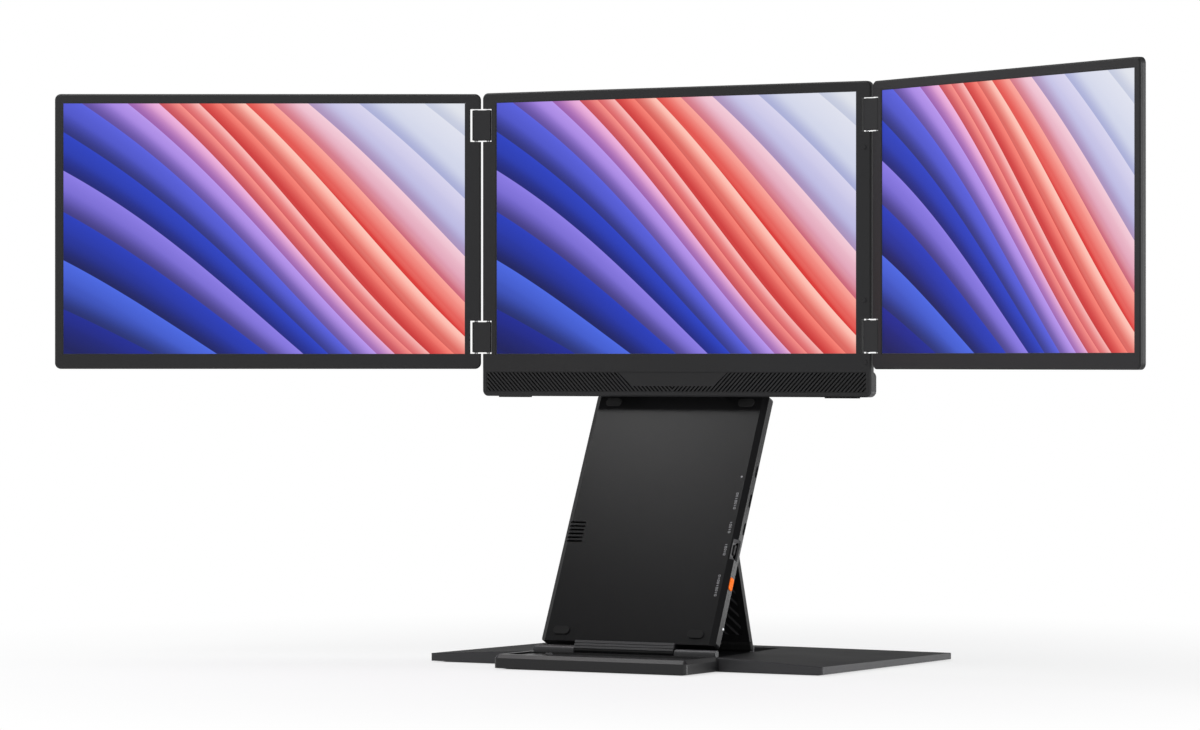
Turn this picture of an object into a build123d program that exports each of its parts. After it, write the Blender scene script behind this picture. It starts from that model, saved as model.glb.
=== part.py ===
"""Triple-screen laptop extender on a folding easel stand.

Frame: +X to the viewer's right, -Y towards the viewer, +Z up, millimetres.
The origin is on the desk, straight under the front face of the centre screen.
"""
from build123d import *
from math import atan2, cos, degrees, hypot, radians, sin, sqrt
import os

os.makedirs("parts", exist_ok=True)

# ---------------------------------------------------------------- driving dimensions
# screens
active_w = 301.6            # lit area, 14 inch at 16:10
active_h = 188.5
screen_z = 226.3            # lower edge of the lit areas above the desk
panel_t = 5.5               # thickness of a screen
hinge_bezel = 11.8          # bezel on a side that carries hinge blocks
far_bezel = 6.0             # bezel on the free side of a wing
top_bezel = 6.7
bottom_bezel = 10.9
centre_top_bezel = 7.2
chin_h = 31.1               # bezel under the centre screen, with the loudspeakers
chin_t = 10.0               # thickness of the centre screen at its chin
chin_bulge_h = 18.8         # height of the thick part of the chin
panel_corner_r = 4.5
front_chamfer = 1.0
bezel_skin = 0.8            # bezel thickness over the glass
bezel_depth = 2.2           # depth of the bezel's outer rim
bezel_rim = 1.4             # width of that rim
cover_wall = 1.4            # side walls of a rear cover
cover_skin = 1.2            # back wall of a rear cover
seam = 0.1                  # gap at the parting line of two mouldings
glass_t = 1.3
glass_lap = 1.5             # glass hidden behind the bezel
light_t = 1.6               # backlight
board_t = 0.8
fit = 0.15                  # clearance round pieces that sit in a pocket

# dual-shaft hinge blocks between the screens
wing_turn = 30.0            # wings turned in from flat
shaft_inset = 3.65          # shaft centre from the panel's edge
shaft_spacing = 9.5
shaft_r = 1.25
shaft_play = 0.05
block_r = 2.6               # half the thickness of a block
block_flat = 1.4            # half the flat part of that thickness
block_h = 22.7
block_low = 1.5             # bottom of the lower block above the lit area's lower edge
block_high = 160.3          # bottom of the upper block above it
block_side_gap = 1.8
block_end_gap = 1.0
block_wall = 0.65
block_cap = 3.0             # solid ends of a block
block_blind = 1.0           # material left over a blind shaft bore
bracket_len = 9.5
bracket_wall = 0.6
strip_wall = 1.2            # wall between a hinge notch and the inside

# stand plate
pad_proud = 0.8             # rubber pads under the base
hinge_y = -69.5             # axis of the hinge between base and plate
hinge_z = 12.5
hinge_pin_r = 1.3
lean = 25.07                # plate's lean from upright
plate_w = 144.0
plate_bottom = 6.0          # lower edge, from the hinge axis along the plate
plate_top = 203.0           # upper edge
plate_t = 10.0
plate_front = 1.6           # front face ahead of the hinge axis
plate_split = 5.0           # depth of the seam between its two shells
plate_wall = 1.8
plate_skin = 1.4
plate_corner_r = 2.6
plate_bevel_w = 4.2         # long front bevels
plate_bevel_d = 2.4
back_bevel = 1.2

# base
base_half_w = 162.0
base_front_y = -74.0
base_back_y = 136.0
base_edge = 0.8             # bevel along the front edges of the base's top
crest_gap = 3.6             # from the pocket to the highest line of the base's top, in front
crest_back_x = 28.0
crest_front_h = 9.7         # heights of the body above its own underside
crest_back_h = 5.2
tip_front_h = 5.6
tip_back_h = 4.5
sheet_t = 1.2               # steel sheet that closes the base from below
sheet_margin = 3.0
pocket_play = 4.4           # beside the plate, at the front of the pocket
pocket_back_half = 35.0
pocket_back_y = 104.0
well_wall_in = 10.0         # walls between a ballast well, the pocket and the base's edge
well_wall_out = 14.0
foot_block_front_y = -122.5
foot_block_h = 9.9

# kickstand
leg_inset = 22.0            # kickstand's edge in from the plate's
leg_t = 4.0
leg_tip_y = 31.5            # middle of the leg's tip when it stands in its cradle
leg_tip_z = 8.6
leg_pivot_s = 128.0         # pivot, along the plate from the hinge axis
leg_pivot_depth = 12.8      # pivot behind the plate's front face
leg_barrel_r = 2.4
leg_pin_r = 1.2

# tilt hinge of the centre screen
tilt_y = 6.0
tilt_up = 4.1               # axis above the chin's lower edge
tilt_barrel_r = 2.8
tilt_pin_r = 1.5
arm_x = 45.0
arm_w = 16.0
arm_gap = 0.5

# ---------------------------------------------------------------- worked-out places
underside = pad_proud
plate_half = plate_w / 2
leg_half_w = plate_half - leg_inset
pocket_front_half = plate_half + pocket_play
crest_front_x = pocket_front_half + crest_gap
foot_block_half_w = pocket_front_half + 2.6
centre_w = active_w + 2 * hinge_bezel
chin_z = screen_z - chin_h
centre_top = screen_z + active_h + centre_top_bezel
wing_low = screen_z - bottom_bezel
wing_top = screen_z + active_h + top_bezel
wing_in = -shaft_inset                                   # along the wing from its shaft
wing_out = wing_in + hinge_bezel + active_w + far_bezel
shaft_depth = panel_t / 2
notch_depth = shaft_inset + block_r + block_side_gap     # in from the panel's edge
strip_w = notch_depth + strip_wall                       # solid strip along a hinged edge
block_z = [screen_z + block_low, screen_z + block_high]
centre_shaft_x = centre_w / 2 - shaft_inset
half_turn = radians(wing_turn / 2)
wing_shaft_x = centre_shaft_x + shaft_spacing * cos(half_turn)
wing_shaft_y = shaft_depth - shaft_spacing * sin(half_turn)

turn = radians(wing_turn)
centre_face = Plane.XZ
wing_face = Plane(origin=(wing_shaft_x, wing_shaft_y, 0), x_dir=(cos(turn), -sin(turn), 0),
                  z_dir=(-sin(turn), -cos(turn), 0)).offset(shaft_depth)

lean_r = radians(lean)
plate_face = Plane(origin=(0, hinge_y, hinge_z), x_dir=(1, 0, 0),
                   z_dir=(0, -cos(lean_r), sin(lean_r))).offset(plate_front)


def on_plate(s, depth):
    """Y and Z of a point at distance s up the plate and a depth behind its front face."""
    back = depth - plate_front
    return (hinge_y + s * sin(lean_r) + back * cos(lean_r),
            hinge_z + s * cos(lean_r) - back * sin(lean_r))


leg_pivot = on_plate(leg_pivot_s, leg_pivot_depth)
leg_len = hypot(leg_tip_y - leg_pivot[0], leg_pivot[1] - leg_tip_z)
leg_angle = atan2(leg_tip_y - leg_pivot[0], leg_pivot[1] - leg_tip_z)    # out from plumb
leg_face = Plane(origin=(0, leg_pivot[0], leg_pivot[1]), x_dir=(1, 0, 0),
                 z_dir=(0, -cos(leg_angle), -sin(leg_angle)))
tilt_z = chin_z + tilt_up


# ---------------------------------------------------------------- helpers
def slab(face, x0, x1, z0, z1, depth, thickness, corner=0.0, mode=Mode.ADD):
    """A rectangular plate that lies a depth behind a face plane."""
    with BuildSketch(face.offset(-depth)) as profile:
        with Locations(((x0 + x1) / 2, (z0 + z1) / 2)):
            if corner > 0:
                RectangleRounded(x1 - x0, z1 - z0, corner)
            else:
                Rectangle(x1 - x0, z1 - z0)
    extrude(profile.sketch, amount=-thickness, mode=mode)


def rod(start, direction, radius, length, mode=Mode.ADD):
    """A round bar from a point along a direction."""
    with BuildSketch(Plane(origin=start, z_dir=direction)) as profile:
        Circle(radius)
    extrude(profile.sketch, amount=length, mode=mode)


def prism(plane, points, amount, mode=Mode.ADD):
    """A polygon on a plane, extruded along the plane's normal."""
    with BuildSketch(plane) as profile:
        Polygon(*points, align=None)
    extrude(profile.sketch, amount=amount, mode=mode)


def save(piece, name):
    """Label a finished piece and write its STEP file."""
    piece.part.label = name
    export_step(piece.part, f"parts/{name}.step")


def mirrored(piece):
    """The same piece for the other side of the object."""
    with BuildPart() as other:
        add(mirror(piece.part, about=Plane.YZ))
    return other


# ---------------------------------------------------------------- pieces of one screen
class Screen:
    """Extents of one screen on its face plane, with its hinged edges."""

    def __init__(self, face, x0, x1, z0, z1, active_x, hinged):
        self.face, self.x0, self.x1, self.z0, self.z1 = face, x0, x1, z0, z1
        self.active_x, self.hinged = active_x, hinged    # hinged: list of (edge x, inward sign)

    def strip(self, sign):
        """Width kept solid on one side, wide where hinges sit."""
        return strip_w if any(s == sign for _, s in self.hinged) else 0.0


def hinge_spots(screen):
    """Shaft position, inward sign and z range of every bracket of a screen."""
    spots = []
    for edge, sign in screen.hinged:
        shaft_x = edge + sign * shaft_inset
        for index, z in enumerate(block_z):
            spots.append((shaft_x, edge, sign, z - block_end_gap - bracket_len, z - block_end_gap))
            if index == 0:
                top = z + block_h + block_end_gap
                spots.append((shaft_x, edge, sign, top, top + bracket_len))
    return spots


def cut_hinge_side(screen, depth, thickness):
    """Cut the notches of the hinge blocks and the pockets of the brackets."""
    for edge, sign in screen.hinged:
        x0, x1 = sorted((edge - sign, edge + sign * notch_depth))
        for z in block_z:
            slab(screen.face, x0, x1, z - block_end_gap, z + block_h + block_end_gap, depth,
                 thickness, mode=Mode.SUBTRACT)
    low = max(depth, shaft_depth - shaft_r - bracket_wall - seam)
    high = min(depth + thickness, shaft_depth + shaft_r + bracket_wall + seam)
    for shaft_x, edge, sign, z0, z1 in hinge_spots(screen):
        x0, x1 = bracket_x(shaft_x, sign)
        slab(screen.face, x0 - seam, x1 + seam, z0, z1, low, high - low, mode=Mode.SUBTRACT)


def bracket_x(shaft_x, sign):
    """Extent of a bracket across the panel."""
    reach = shaft_r + bracket_wall
    return sorted((shaft_x - sign * reach, shaft_x + sign * (reach + 2.6)))


def bezel(screen, grille=None):
    """Front frame with its outer rim, lit opening, hinge notches and bracket pockets."""
    s = screen
    with BuildPart() as part:
        slab(s.face, s.x0, s.x1, s.z0, s.z1, 0, bezel_depth, panel_corner_r)
        front = part.faces().sort_by(Axis(origin=s.face.origin, direction=s.face.z_dir))[-1]
        chamfer(front.edges(), front_chamfer)
        left = s.x0 + max(bezel_rim, s.strip(1))
        right = s.x1 - max(bezel_rim, s.strip(-1))
        low = screen_z - glass_lap - fit if grille else s.z0 + bezel_rim
        slab(s.face, left, right, low, s.z1 - bezel_rim, bezel_skin, bezel_depth,
             mode=Mode.SUBTRACT)
        slab(s.face, s.active_x, s.active_x + active_w, screen_z, screen_z + active_h, 0,
             bezel_depth, mode=Mode.SUBTRACT)
        if grille:
            slab(s.face, *grille, 0, bezel_depth, mode=Mode.SUBTRACT)
        cut_hinge_side(s, 0, bezel_depth)
    return part


def rear_cover(screen):
    """Back tray of a wing, with hinge notches and bracket pockets."""
    s = screen
    start = bezel_depth + seam
    with BuildPart() as part:
        slab(s.face, s.x0, s.x1, s.z0, s.z1, start, panel_t - start, panel_corner_r)
        back = part.faces().sort_by(Axis(origin=s.face.origin, direction=s.face.z_dir))[0]
        fillet(back.edges(), 1.0)
        left = s.x0 + max(cover_wall, s.strip(1))
        right = s.x1 - max(cover_wall, s.strip(-1))
        slab(s.face, left, right, s.z0 + cover_wall, s.z1 - cover_wall, start,
             panel_t - cover_skin - start, mode=Mode.SUBTRACT)
        cut_hinge_side(s, start, panel_t)
    return part


def glass(screen):
    """LCD cell behind the bezel's opening."""
    with BuildPart() as part:
        slab(screen.face, screen.active_x - glass_lap, screen.active_x + active_w + glass_lap,
             screen_z - glass_lap, screen_z + active_h + glass_lap, bezel_skin, glass_t)
    return part


def backlight(screen):
    """Light guide and diffuser stack behind the LCD cell."""
    lap = glass_lap - fit
    with BuildPart() as part:
        slab(screen.face, screen.active_x - lap, screen.active_x + active_w + lap,
             screen_z - lap, screen_z + active_h + lap, bezel_skin + glass_t, light_t)
    return part


def driver_board(screen, length, height, low):
    """Timing board along the lower bezel, lying on the rear cover."""
    middle = screen.active_x + active_w / 2
    depth = panel_t - cover_skin - board_t
    with BuildPart() as part:
        slab(screen.face, middle - length / 2, middle + length / 2, low, low + height, depth,
             board_t)
        for step in range(-2, 3):
            spot = middle + step * length / 5
            slab(screen.face, spot - 4, spot + 4, low + 0.8, low + height - 0.8, depth - 0.6, 0.7)
    return part


def hinge_brackets(screen):
    """Steel blocks in the panel that hold the ends of the hinge shafts."""
    reach = shaft_r + bracket_wall
    with BuildPart() as part:
        for shaft_x, edge, sign, z0, z1 in hinge_spots(screen):
            x0, x1 = bracket_x(shaft_x, sign)
            slab(screen.face, x0, x1, z0, z1, shaft_depth - reach, 2 * reach)
        for shaft_x, edge, sign, z0, z1 in hinge_spots(screen):
            foot = screen.face.offset(-shaft_depth).from_local_coords((shaft_x, z0, 0))
            rod(foot, (0, 0, 1), shaft_r, z1 - z0, mode=Mode.SUBTRACT)
    return part


def hinge_shafts(screen):
    """Steel shafts held by the brackets, one for each hinge block."""
    with BuildPart() as part:
        for edge, sign in screen.hinged:
            for index, z in enumerate(block_z):
                start = z - block_end_gap - bracket_len + 0.5
                end = z + block_h - block_blind - 0.3
                if index == 0:
                    end = z + block_h + block_end_gap + bracket_len - 0.5
                local = (edge + sign * shaft_inset, start, 0)
                foot = screen.face.offset(-shaft_depth).from_local_coords(local)
                rod(foot, (0, 0, 1), shaft_r, end - start)
    return part


# ---------------------------------------------------------------- wings
wing = Screen(wing_face, wing_in, wing_out, wing_low, wing_top, wing_in + hinge_bezel,
              [(wing_in, 1)])
board_share = 0.64          # length of a driver board against the lit area
wing_board_h = 6.4
wing_pieces = {
    "bezel": bezel(wing),
    "rear_cover": rear_cover(wing),
    "lcd_glass": glass(wing),
    "backlight": backlight(wing),
    "driver_board": driver_board(wing, board_share * active_w, wing_board_h, wing_low + cover_wall + 0.6),
    "hinge_brackets": hinge_brackets(wing),
    "hinge_shafts": hinge_shafts(wing),
}
for piece_name, piece in wing_pieces.items():
    save(piece, f"right_{piece_name}")
    save(mirrored(piece), f"left_{piece_name}")

# ---------------------------------------------------------------- hinge blocks
block_mid = ((centre_shaft_x + wing_shaft_x) / 2, (shaft_depth + wing_shaft_y) / 2)
shaft_spots = [(centre_shaft_x, shaft_depth), (wing_shaft_x, wing_shaft_y)]


def block_bar(z, height, radius, mode=Mode.ADD):
    """An upright bar of rounded section round both shafts."""
    with BuildSketch(Plane.XY.offset(z)) as profile:
        with Locations(block_mid):
            RectangleRounded(shaft_spacing + 2 * radius, 2 * radius, radius - block_flat,
                             rotation=-wing_turn / 2)
    extrude(profile.sketch, amount=height, mode=mode)


cavity_h = block_h - 2 * block_cap
with BuildPart() as hinge_blocks:
    for z in block_z:
        block_bar(z, block_h, block_r)
    chamfer(hinge_blocks.faces().filter_by(Axis.Z).edges(), 0.4)
    for index, z in enumerate(block_z):
        block_bar(z + block_cap, cavity_h, block_r - block_wall, mode=Mode.SUBTRACT)
        bore_h = block_h if index == 0 else block_h - block_blind
        for spot in shaft_spots:
            rod((*spot, z), (0, 0, 1), shaft_r + shaft_play, bore_h, mode=Mode.SUBTRACT)

clip_t = 1.6
clip_count = 7
clip_gap = 0.2
clip_pitch = (cavity_h - 2 * clip_gap) / clip_count
with BuildPart() as torque_clips:
    for z in block_z:
        for step in range(clip_count):
            block_bar(z + block_cap + clip_gap + step * clip_pitch, clip_t,
                       block_r - block_wall - 0.05)
    for z in block_z:
        for spot in shaft_spots:
            rod((*spot, z), (0, 0, 1), shaft_r + shaft_play, block_h, mode=Mode.SUBTRACT)

for piece_name, piece in {"hinge_blocks": hinge_blocks, "torque_clips": torque_clips}.items():
    save(piece, f"right_{piece_name}")
    save(mirrored(piece), f"left_{piece_name}")

# ---------------------------------------------------------------- centre screen
half_w = centre_w / 2
grille_side = 3.7           # bezel beside the grille
centre = Screen(centre_face, -half_w, half_w, chin_z, centre_top, -active_w / 2,
                [(-half_w, 1), (half_w, -1)])
grille_half_w = half_w - grille_side
grille_low = screen_z - 27.7
grille_high = screen_z - 13.0
grille_box = (-grille_half_w, grille_half_w, grille_low, grille_high)
chin_wall = 1.6
notch_half = arm_w / 2 + arm_gap
side_bay = (arm_x + notch_half + 8.0, half_w - chin_wall)   # loudspeaker bays
mid_bay = arm_x - notch_half - 8.0
bay_low = chin_z + chin_wall
bay_high = chin_z + chin_bulge_h - chin_wall
tilt_notch_top = tilt_z + tilt_barrel_r + 2.6
cover_start = bezel_depth + seam

centre_bezel = bezel(centre, grille_box)
with BuildPart() as centre_rear_cover:
    slab(centre_face, -half_w, half_w, chin_z, centre_top, cover_start, panel_t - cover_start,
         panel_corner_r)
    fillet(centre_rear_cover.faces().sort_by(Axis.Y)[-1].edges(), 1.0)
    slab(centre_face, -half_w, half_w, chin_z, chin_z + chin_bulge_h, panel_t - 1.6,
         chin_t - panel_t + 1.6, panel_corner_r)
    fillet(centre_rear_cover.faces().sort_by(Axis.Y)[-1].edges(), 1.5)
    slab(centre_face, -half_w + strip_w, half_w - strip_w, bay_high + cover_wall,
         centre_top - cover_wall, cover_start, panel_t - cover_skin - cover_start,
         mode=Mode.SUBTRACT)
    for x0, x1 in ((-side_bay[1], -side_bay[0]), (-mid_bay, mid_bay), side_bay):
        slab(centre_face, x0, x1, bay_low, bay_high, cover_start,
             chin_t - cover_skin - cover_start, mode=Mode.SUBTRACT)
    for side in (-1, 1):
        slab(centre_face, side * arm_x - notch_half, side * arm_x + notch_half, chin_z - 1,
             tilt_notch_top, tilt_y - tilt_barrel_r - 0.4, chin_t, mode=Mode.SUBTRACT)
        rod((side * arm_x - notch_half - 5, tilt_y, tilt_z), (1, 0, 0), tilt_pin_r,
            2 * notch_half + 10, mode=Mode.SUBTRACT)
    cut_hinge_side(centre, cover_start, panel_t)

slot_pitch = 3.35           # along the chin
slot_w = 1.15
grille_margin = 0.5
grille_mid = (grille_low + grille_high) / 2
plain_field = [(-46.1, screen_z - 13.0), (-34.2, screen_z - 23.4), (34.2, screen_z - 23.4),
              (46.1, screen_z - 13.0)]
with BuildPart() as speaker_grille:
    slab(centre_face, -grille_half_w + fit, grille_half_w - fit, grille_low + fit,
         grille_high - fit, 0.3, bezel_depth - 0.3)
    with BuildSketch(centre_face.offset(-0.3)) as slots:
        for side in (-1, 1):
            for step in range(int(grille_half_w / slot_pitch) + 4):
                spot = (side * (step - 1.5) * slot_pitch, grille_mid)
                with BuildSketch(mode=Mode.PRIVATE) as slot:
                    with Locations(Location((*spot, 0), (0, 0, -side * 45))):
                        Rectangle(slot_w, 2 * (grille_high - grille_low))
                    with Locations((side * grille_half_w / 2, grille_mid)):
                        Rectangle(grille_half_w, grille_high - grille_low - 2 * grille_margin,
                                  mode=Mode.INTERSECT)
                add(slot.sketch_local)
        with Locations((0, grille_mid)):
            Rectangle(2 * (grille_half_w - grille_margin), grille_high - grille_low,
                      mode=Mode.INTERSECT)
        Polygon(*plain_field, align=None, mode=Mode.SUBTRACT)
    extrude(slots.sketch, amount=-bezel_depth, mode=Mode.SUBTRACT)

speaker_x = (side_bay[0] + 8.5, side_bay[1] - 11.0)
with BuildPart() as speakers:
    for side in (-1, 1):
        x0, x1 = sorted((side * speaker_x[0], side * speaker_x[1]))
        slab(centre_face, x0, x1, bay_low + 1.0, bay_high - 1.0, 3.2, 5.2, 2.0)
        slab(centre_face, x0 + 8, x1 - 8, bay_low + 2.6, bay_high - 2.6, 2.5, 0.9, 4.0)

with BuildPart() as tilt_pins:
    for side in (-1, 1):
        rod((side * arm_x - notch_half - 4.5, tilt_y, tilt_z), (1, 0, 0), tilt_pin_r,
            2 * notch_half + 9)

bumper_spots = [(half_w - 5.4, screen_z + 148.2), (half_w - 5.4, screen_z + 38.7),
                (half_w - 4.6, screen_z - 5.7)]
with BuildPart() as bezel_bumpers:
    for x, z in bumper_spots:
        rod((x, 0, z), (0, -1, 0), 1.75, 0.5)
    fillet(bezel_bumpers.faces().group_by(Axis.Y)[0].edges(), 0.25)

with BuildPart() as chin_pads:
    for side in (-1, 1):
        with BuildSketch(Plane.XY.offset(chin_z)) as pad:
            with Locations((side * (half_w - 25.6), 5.5)):
                SlotOverall(28, 5)
        extrude(pad.sketch, amount=-0.8)

centre_pieces = {
    "centre_bezel": centre_bezel,
    "centre_rear_cover": centre_rear_cover,
    "centre_lcd_glass": glass(centre),
    "centre_backlight": backlight(centre),
    "centre_driver_board": driver_board(centre, board_share * active_w, 8.6, screen_z - 10.8),
    "centre_hinge_brackets": hinge_brackets(centre),
    "centre_hinge_shafts": hinge_shafts(centre),
    "speaker_grille": speaker_grille,
    "speakers": speakers,
    "tilt_pins": tilt_pins,
    "bezel_bumpers": bezel_bumpers,
    "chin_pads": chin_pads,
}

# ---------------------------------------------------------------- stand plate
screw_spots = [(side * (plate_half - 8.5), s) for side in (-1, 1) for s in (28.0, 110.0, 187.0)]
port_spans = [(139.7, 148.8), (116.1, 126.8), (94.5, 104.1)]
port_depth = 7.1
port_h = 2.9
port_wall = 0.4
insert_span = (50.6, 60.2)
insert_depth = (2.6, 8.0)
button_s = 81.1
button_depth = 3.4
button_len = 8.0
button_h = 2.4
button_play = 0.3
led_s = 21.8
led_depth = 8.0
arm_notch = arm_w / 2 + 0.3
cover_half = plate_half - 31.0
leaf_half = cover_half - 3.0


def plate_cross(s):
    """Plane across the plate: local x is X, local y is the depth."""
    return Plane(origin=(0, *on_plate(s, 0)), x_dir=(1, 0, 0), z_dir=(0, sin(lean_r), cos(lean_r)))


def plate_side(x):
    """Plane along the plate's right flank: local x runs up the plate, local y is minus depth."""
    return Plane(origin=(x, *on_plate(0, 0)), x_dir=(0, sin(lean_r), cos(lean_r)),
                 z_dir=(1, 0, 0))


def plate_rod(x, s, depth0, depth1, radius, mode=Mode.ADD):
    """A round bar square to the plate, between two depths."""
    rod((x, *on_plate(s, depth0)), (0, cos(lean_r), -sin(lean_r)), radius, depth1 - depth0, mode)


def flank_slot(x, s0, s1, depth, height, length, mode=Mode.ADD):
    """A stadium-shaped bar that runs inwards from the right flank."""
    with BuildSketch(plate_side(x)) as profile:
        with Locations(((s0 + s1) / 2, -depth)):
            SlotOverall(s1 - s0, height)
    extrude(profile.sketch, amount=-length, mode=mode)


def cut_plate_openings():
    """Openings that both shells share: power recess, orange insert, LED and tilt arms."""
    with BuildSketch(plate_face.offset(1)) as scoop:
        Polygon((plate_half + 0.5, 89.4), (plate_half - 3.0, 86.5), (plate_half - 3.0, 75.7),
                (plate_half + 0.5, 72.8), align=None)
    extrude(scoop.sketch, amount=-7.5, mode=Mode.SUBTRACT)
    with BuildSketch(plate_side(plate_half + 1)) as square:
        with Locations(((insert_span[0] + insert_span[1]) / 2, -sum(insert_depth) / 2)):
            RectangleRounded(insert_span[1] - insert_span[0], insert_depth[1] - insert_depth[0], 1.6)
    extrude(square.sketch, amount=-4.6, mode=Mode.SUBTRACT)
    for side in (-1, 1):
        for low, depth, length in ((plate_top - 4.5, 1.7, 6.6), (plate_top - 1.6, -1, 9.3)):
            slab(plate_face, side * arm_x - arm_notch, side * arm_x + arm_notch, low,
                 plate_top + 2, depth, length, mode=Mode.SUBTRACT)


with BuildPart() as plate_front_shell:
    slab(plate_face, -plate_half, plate_half, plate_bottom, plate_top, 0, plate_split,
         plate_corner_r)
    for side in (-1, 1):
        edge = side * plate_half
        bevel = [(edge - side * plate_bevel_w, 0), (edge, plate_bevel_d),
                 (edge + side, plate_bevel_d), (edge + side, -1), (edge - side * plate_bevel_w, -1)]
        prism(plate_cross(plate_bottom - 1), bevel, plate_top - plate_bottom + 2, Mode.SUBTRACT)
    slab(plate_face, -plate_half + 2 * plate_wall, plate_half - 2 * plate_wall,
         plate_bottom + plate_wall, plate_top - plate_wall, 1.6, plate_split, mode=Mode.SUBTRACT)
    for x, s in screw_spots:
        plate_rod(x, s, 1.6, plate_split, 2.6)
        plate_rod(x, s, 2.2, plate_split + 1, 1.0, Mode.SUBTRACT)
    for step in range(6):
        with BuildSketch(plate_face) as vent:
            with Locations((9.4 - plate_half, 84.3 + step * 2.98)):
                SlotOverall(13.5, 1.4)
        extrude(vent.sketch, amount=-1.7, mode=Mode.SUBTRACT)
    slab(plate_face, -leaf_half - 0.1, leaf_half + 0.1, plate_bottom - 1, plate_bottom + 3, 1.9,
         2.2, mode=Mode.SUBTRACT)
    flank_slot(plate_half + 2, button_s - button_len / 2 - button_play,
               button_s + button_len / 2 + button_play, button_depth,
               button_h + 2 * button_play, 8, Mode.SUBTRACT)
    cut_plate_openings()

back_start = plate_split + seam
with BuildPart() as plate_back_shell:
    slab(plate_face, -plate_half, plate_half, plate_bottom, plate_top, back_start,
         plate_t - back_start, plate_corner_r)
    back = plate_back_shell.faces().sort_by(Axis(origin=plate_face.origin,
                                                 direction=plate_face.z_dir))[0]
    chamfer(back.edges(), back_bevel)
    slab(plate_face, -plate_half + plate_wall, plate_half - plate_wall, plate_bottom + plate_wall,
         plate_top - plate_wall, back_start, plate_t - plate_skin - back_start,
         mode=Mode.SUBTRACT)
    for x, s in screw_spots:
        plate_rod(x, s, back_start, plate_t - 1, 2.6)
        plate_rod(x, s, plate_split, plate_t + 1, 1.0, Mode.SUBTRACT)
        plate_rod(x, s, plate_t - 0.8, plate_t + 1, 2.0, Mode.SUBTRACT)
    for s0, s1 in port_spans:
        flank_slot(plate_half + 1, s0, s1, port_depth, port_h, 6, Mode.SUBTRACT)
    with BuildSketch(plate_side(plate_half + 1)) as lamp:
        with Locations((led_s, -led_depth)):
            Circle(1.0)
    extrude(lamp.sketch, amount=-4, mode=Mode.SUBTRACT)
    cut_plate_openings()

board_half = plate_half - 15.0
board_low, board_high = 26.0, 176.0
board_depth = 4.3
with BuildPart() as main_board:
    slab(plate_face, -board_half, board_half, board_low, board_high, board_depth, 1.2, 2.0)
    for s0, s1 in ((91.0, 106.5), (114.0, 151.0)):
        slab(plate_face, board_half - 5, board_half + 9, s0, s1, board_depth, 1.2)
    for x, s, half_x, half_s in ((-28, 60, 8, 8), (4, 62, 6, 6), (-26, 110, 9, 9),
                                 (6, 112, 7, 10), (30, 84, 5, 5)):
        slab(plate_face, x - half_x, x + half_x, s - half_s, s + half_s, 3.4, 0.95)
    for x, s in ((-42, 150), (-30, 150), (-18, 150), (40, 40), (48, 60), (-44, 36)):
        plate_rod(x, s, board_depth + 1.15, 8.2, 2.4)
    slab(plate_face, 0, 26, 146, 152, board_depth + 1.15, 1.4)
    slab(plate_face, 0, 26, 160, 166, board_depth + 1.15, 1.4)

with BuildPart() as heat_spreader:
    slab(plate_face, -44, 40, 44, 128, 2.4, 1.0, 3.0)
    for step in range(9):
        x = -38 + step * 9
        slab(plate_face, x, x + 4.5, 50, 122, 2.4, 0.5, mode=Mode.SUBTRACT)

with BuildPart() as port_shells:
    for s0, s1 in port_spans:
        flank_slot(plate_half - 0.5, s0, s1, port_depth, port_h, 7.4)
        flank_slot(plate_half, s0 + port_wall, s1 - port_wall, port_depth,
                   port_h - 2 * port_wall, 7.0, Mode.SUBTRACT)
        slab(plate_face, plate_half - 7.4, plate_half - 1.6, s0 + 1.7, s1 - 1.7,
             port_depth - 0.35, 0.7)

with BuildPart() as orange_insert:
    with BuildSketch(plate_side(plate_half + 0.6)) as square:
        with Locations(((insert_span[0] + insert_span[1]) / 2, -sum(insert_depth) / 2)):
            RectangleRounded(insert_span[1] - insert_span[0], insert_depth[1] - insert_depth[0], 1.6)
    extrude(square.sketch, amount=-4.2)
    fillet(orange_insert.faces().sort_by(Axis.X)[-1].edges(), 0.5)

with BuildPart() as status_led:
    with BuildSketch(plate_side(plate_half + 0.15)) as lamp:
        with Locations((led_s, -led_depth)):
            Circle(1.0)
    extrude(lamp.sketch, amount=-2.6)

with BuildPart() as power_button:
    flank_slot(plate_half - 1.5, button_s - button_len / 2, button_s + button_len / 2,
               button_depth, button_h, 3.6)
    flank_slot(plate_half - 3.9, button_s - 5.4, button_s + 5.4, button_depth, 2.8, 1.3)
    fillet(power_button.faces().sort_by(Axis.X)[-1].edges(), 0.4)

with BuildPart() as plate_bumpers:
    for side in (-1, 1):
        for s in (14.0, 196.0):
            with BuildSketch(plate_face) as pad:
                with Locations((side * (plate_half - 16.5), s)):
                    SlotOverall(13.3, 6.3)
            extrude(pad.sketch, amount=1.0)
    tops = plate_bumpers.faces().filter_by(
        lambda f: f.normal_at().dot(plate_face.z_dir) > 0.99)
    fillet(tops.edges(), 0.4)

with BuildPart() as plate_screws:
    for x, s in screw_spots:
        plate_rod(x, s, 2.4, plate_t - 0.5, 1.0)
        plate_rod(x, s, plate_t - 0.8, plate_t - 0.1, 2.0)

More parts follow.
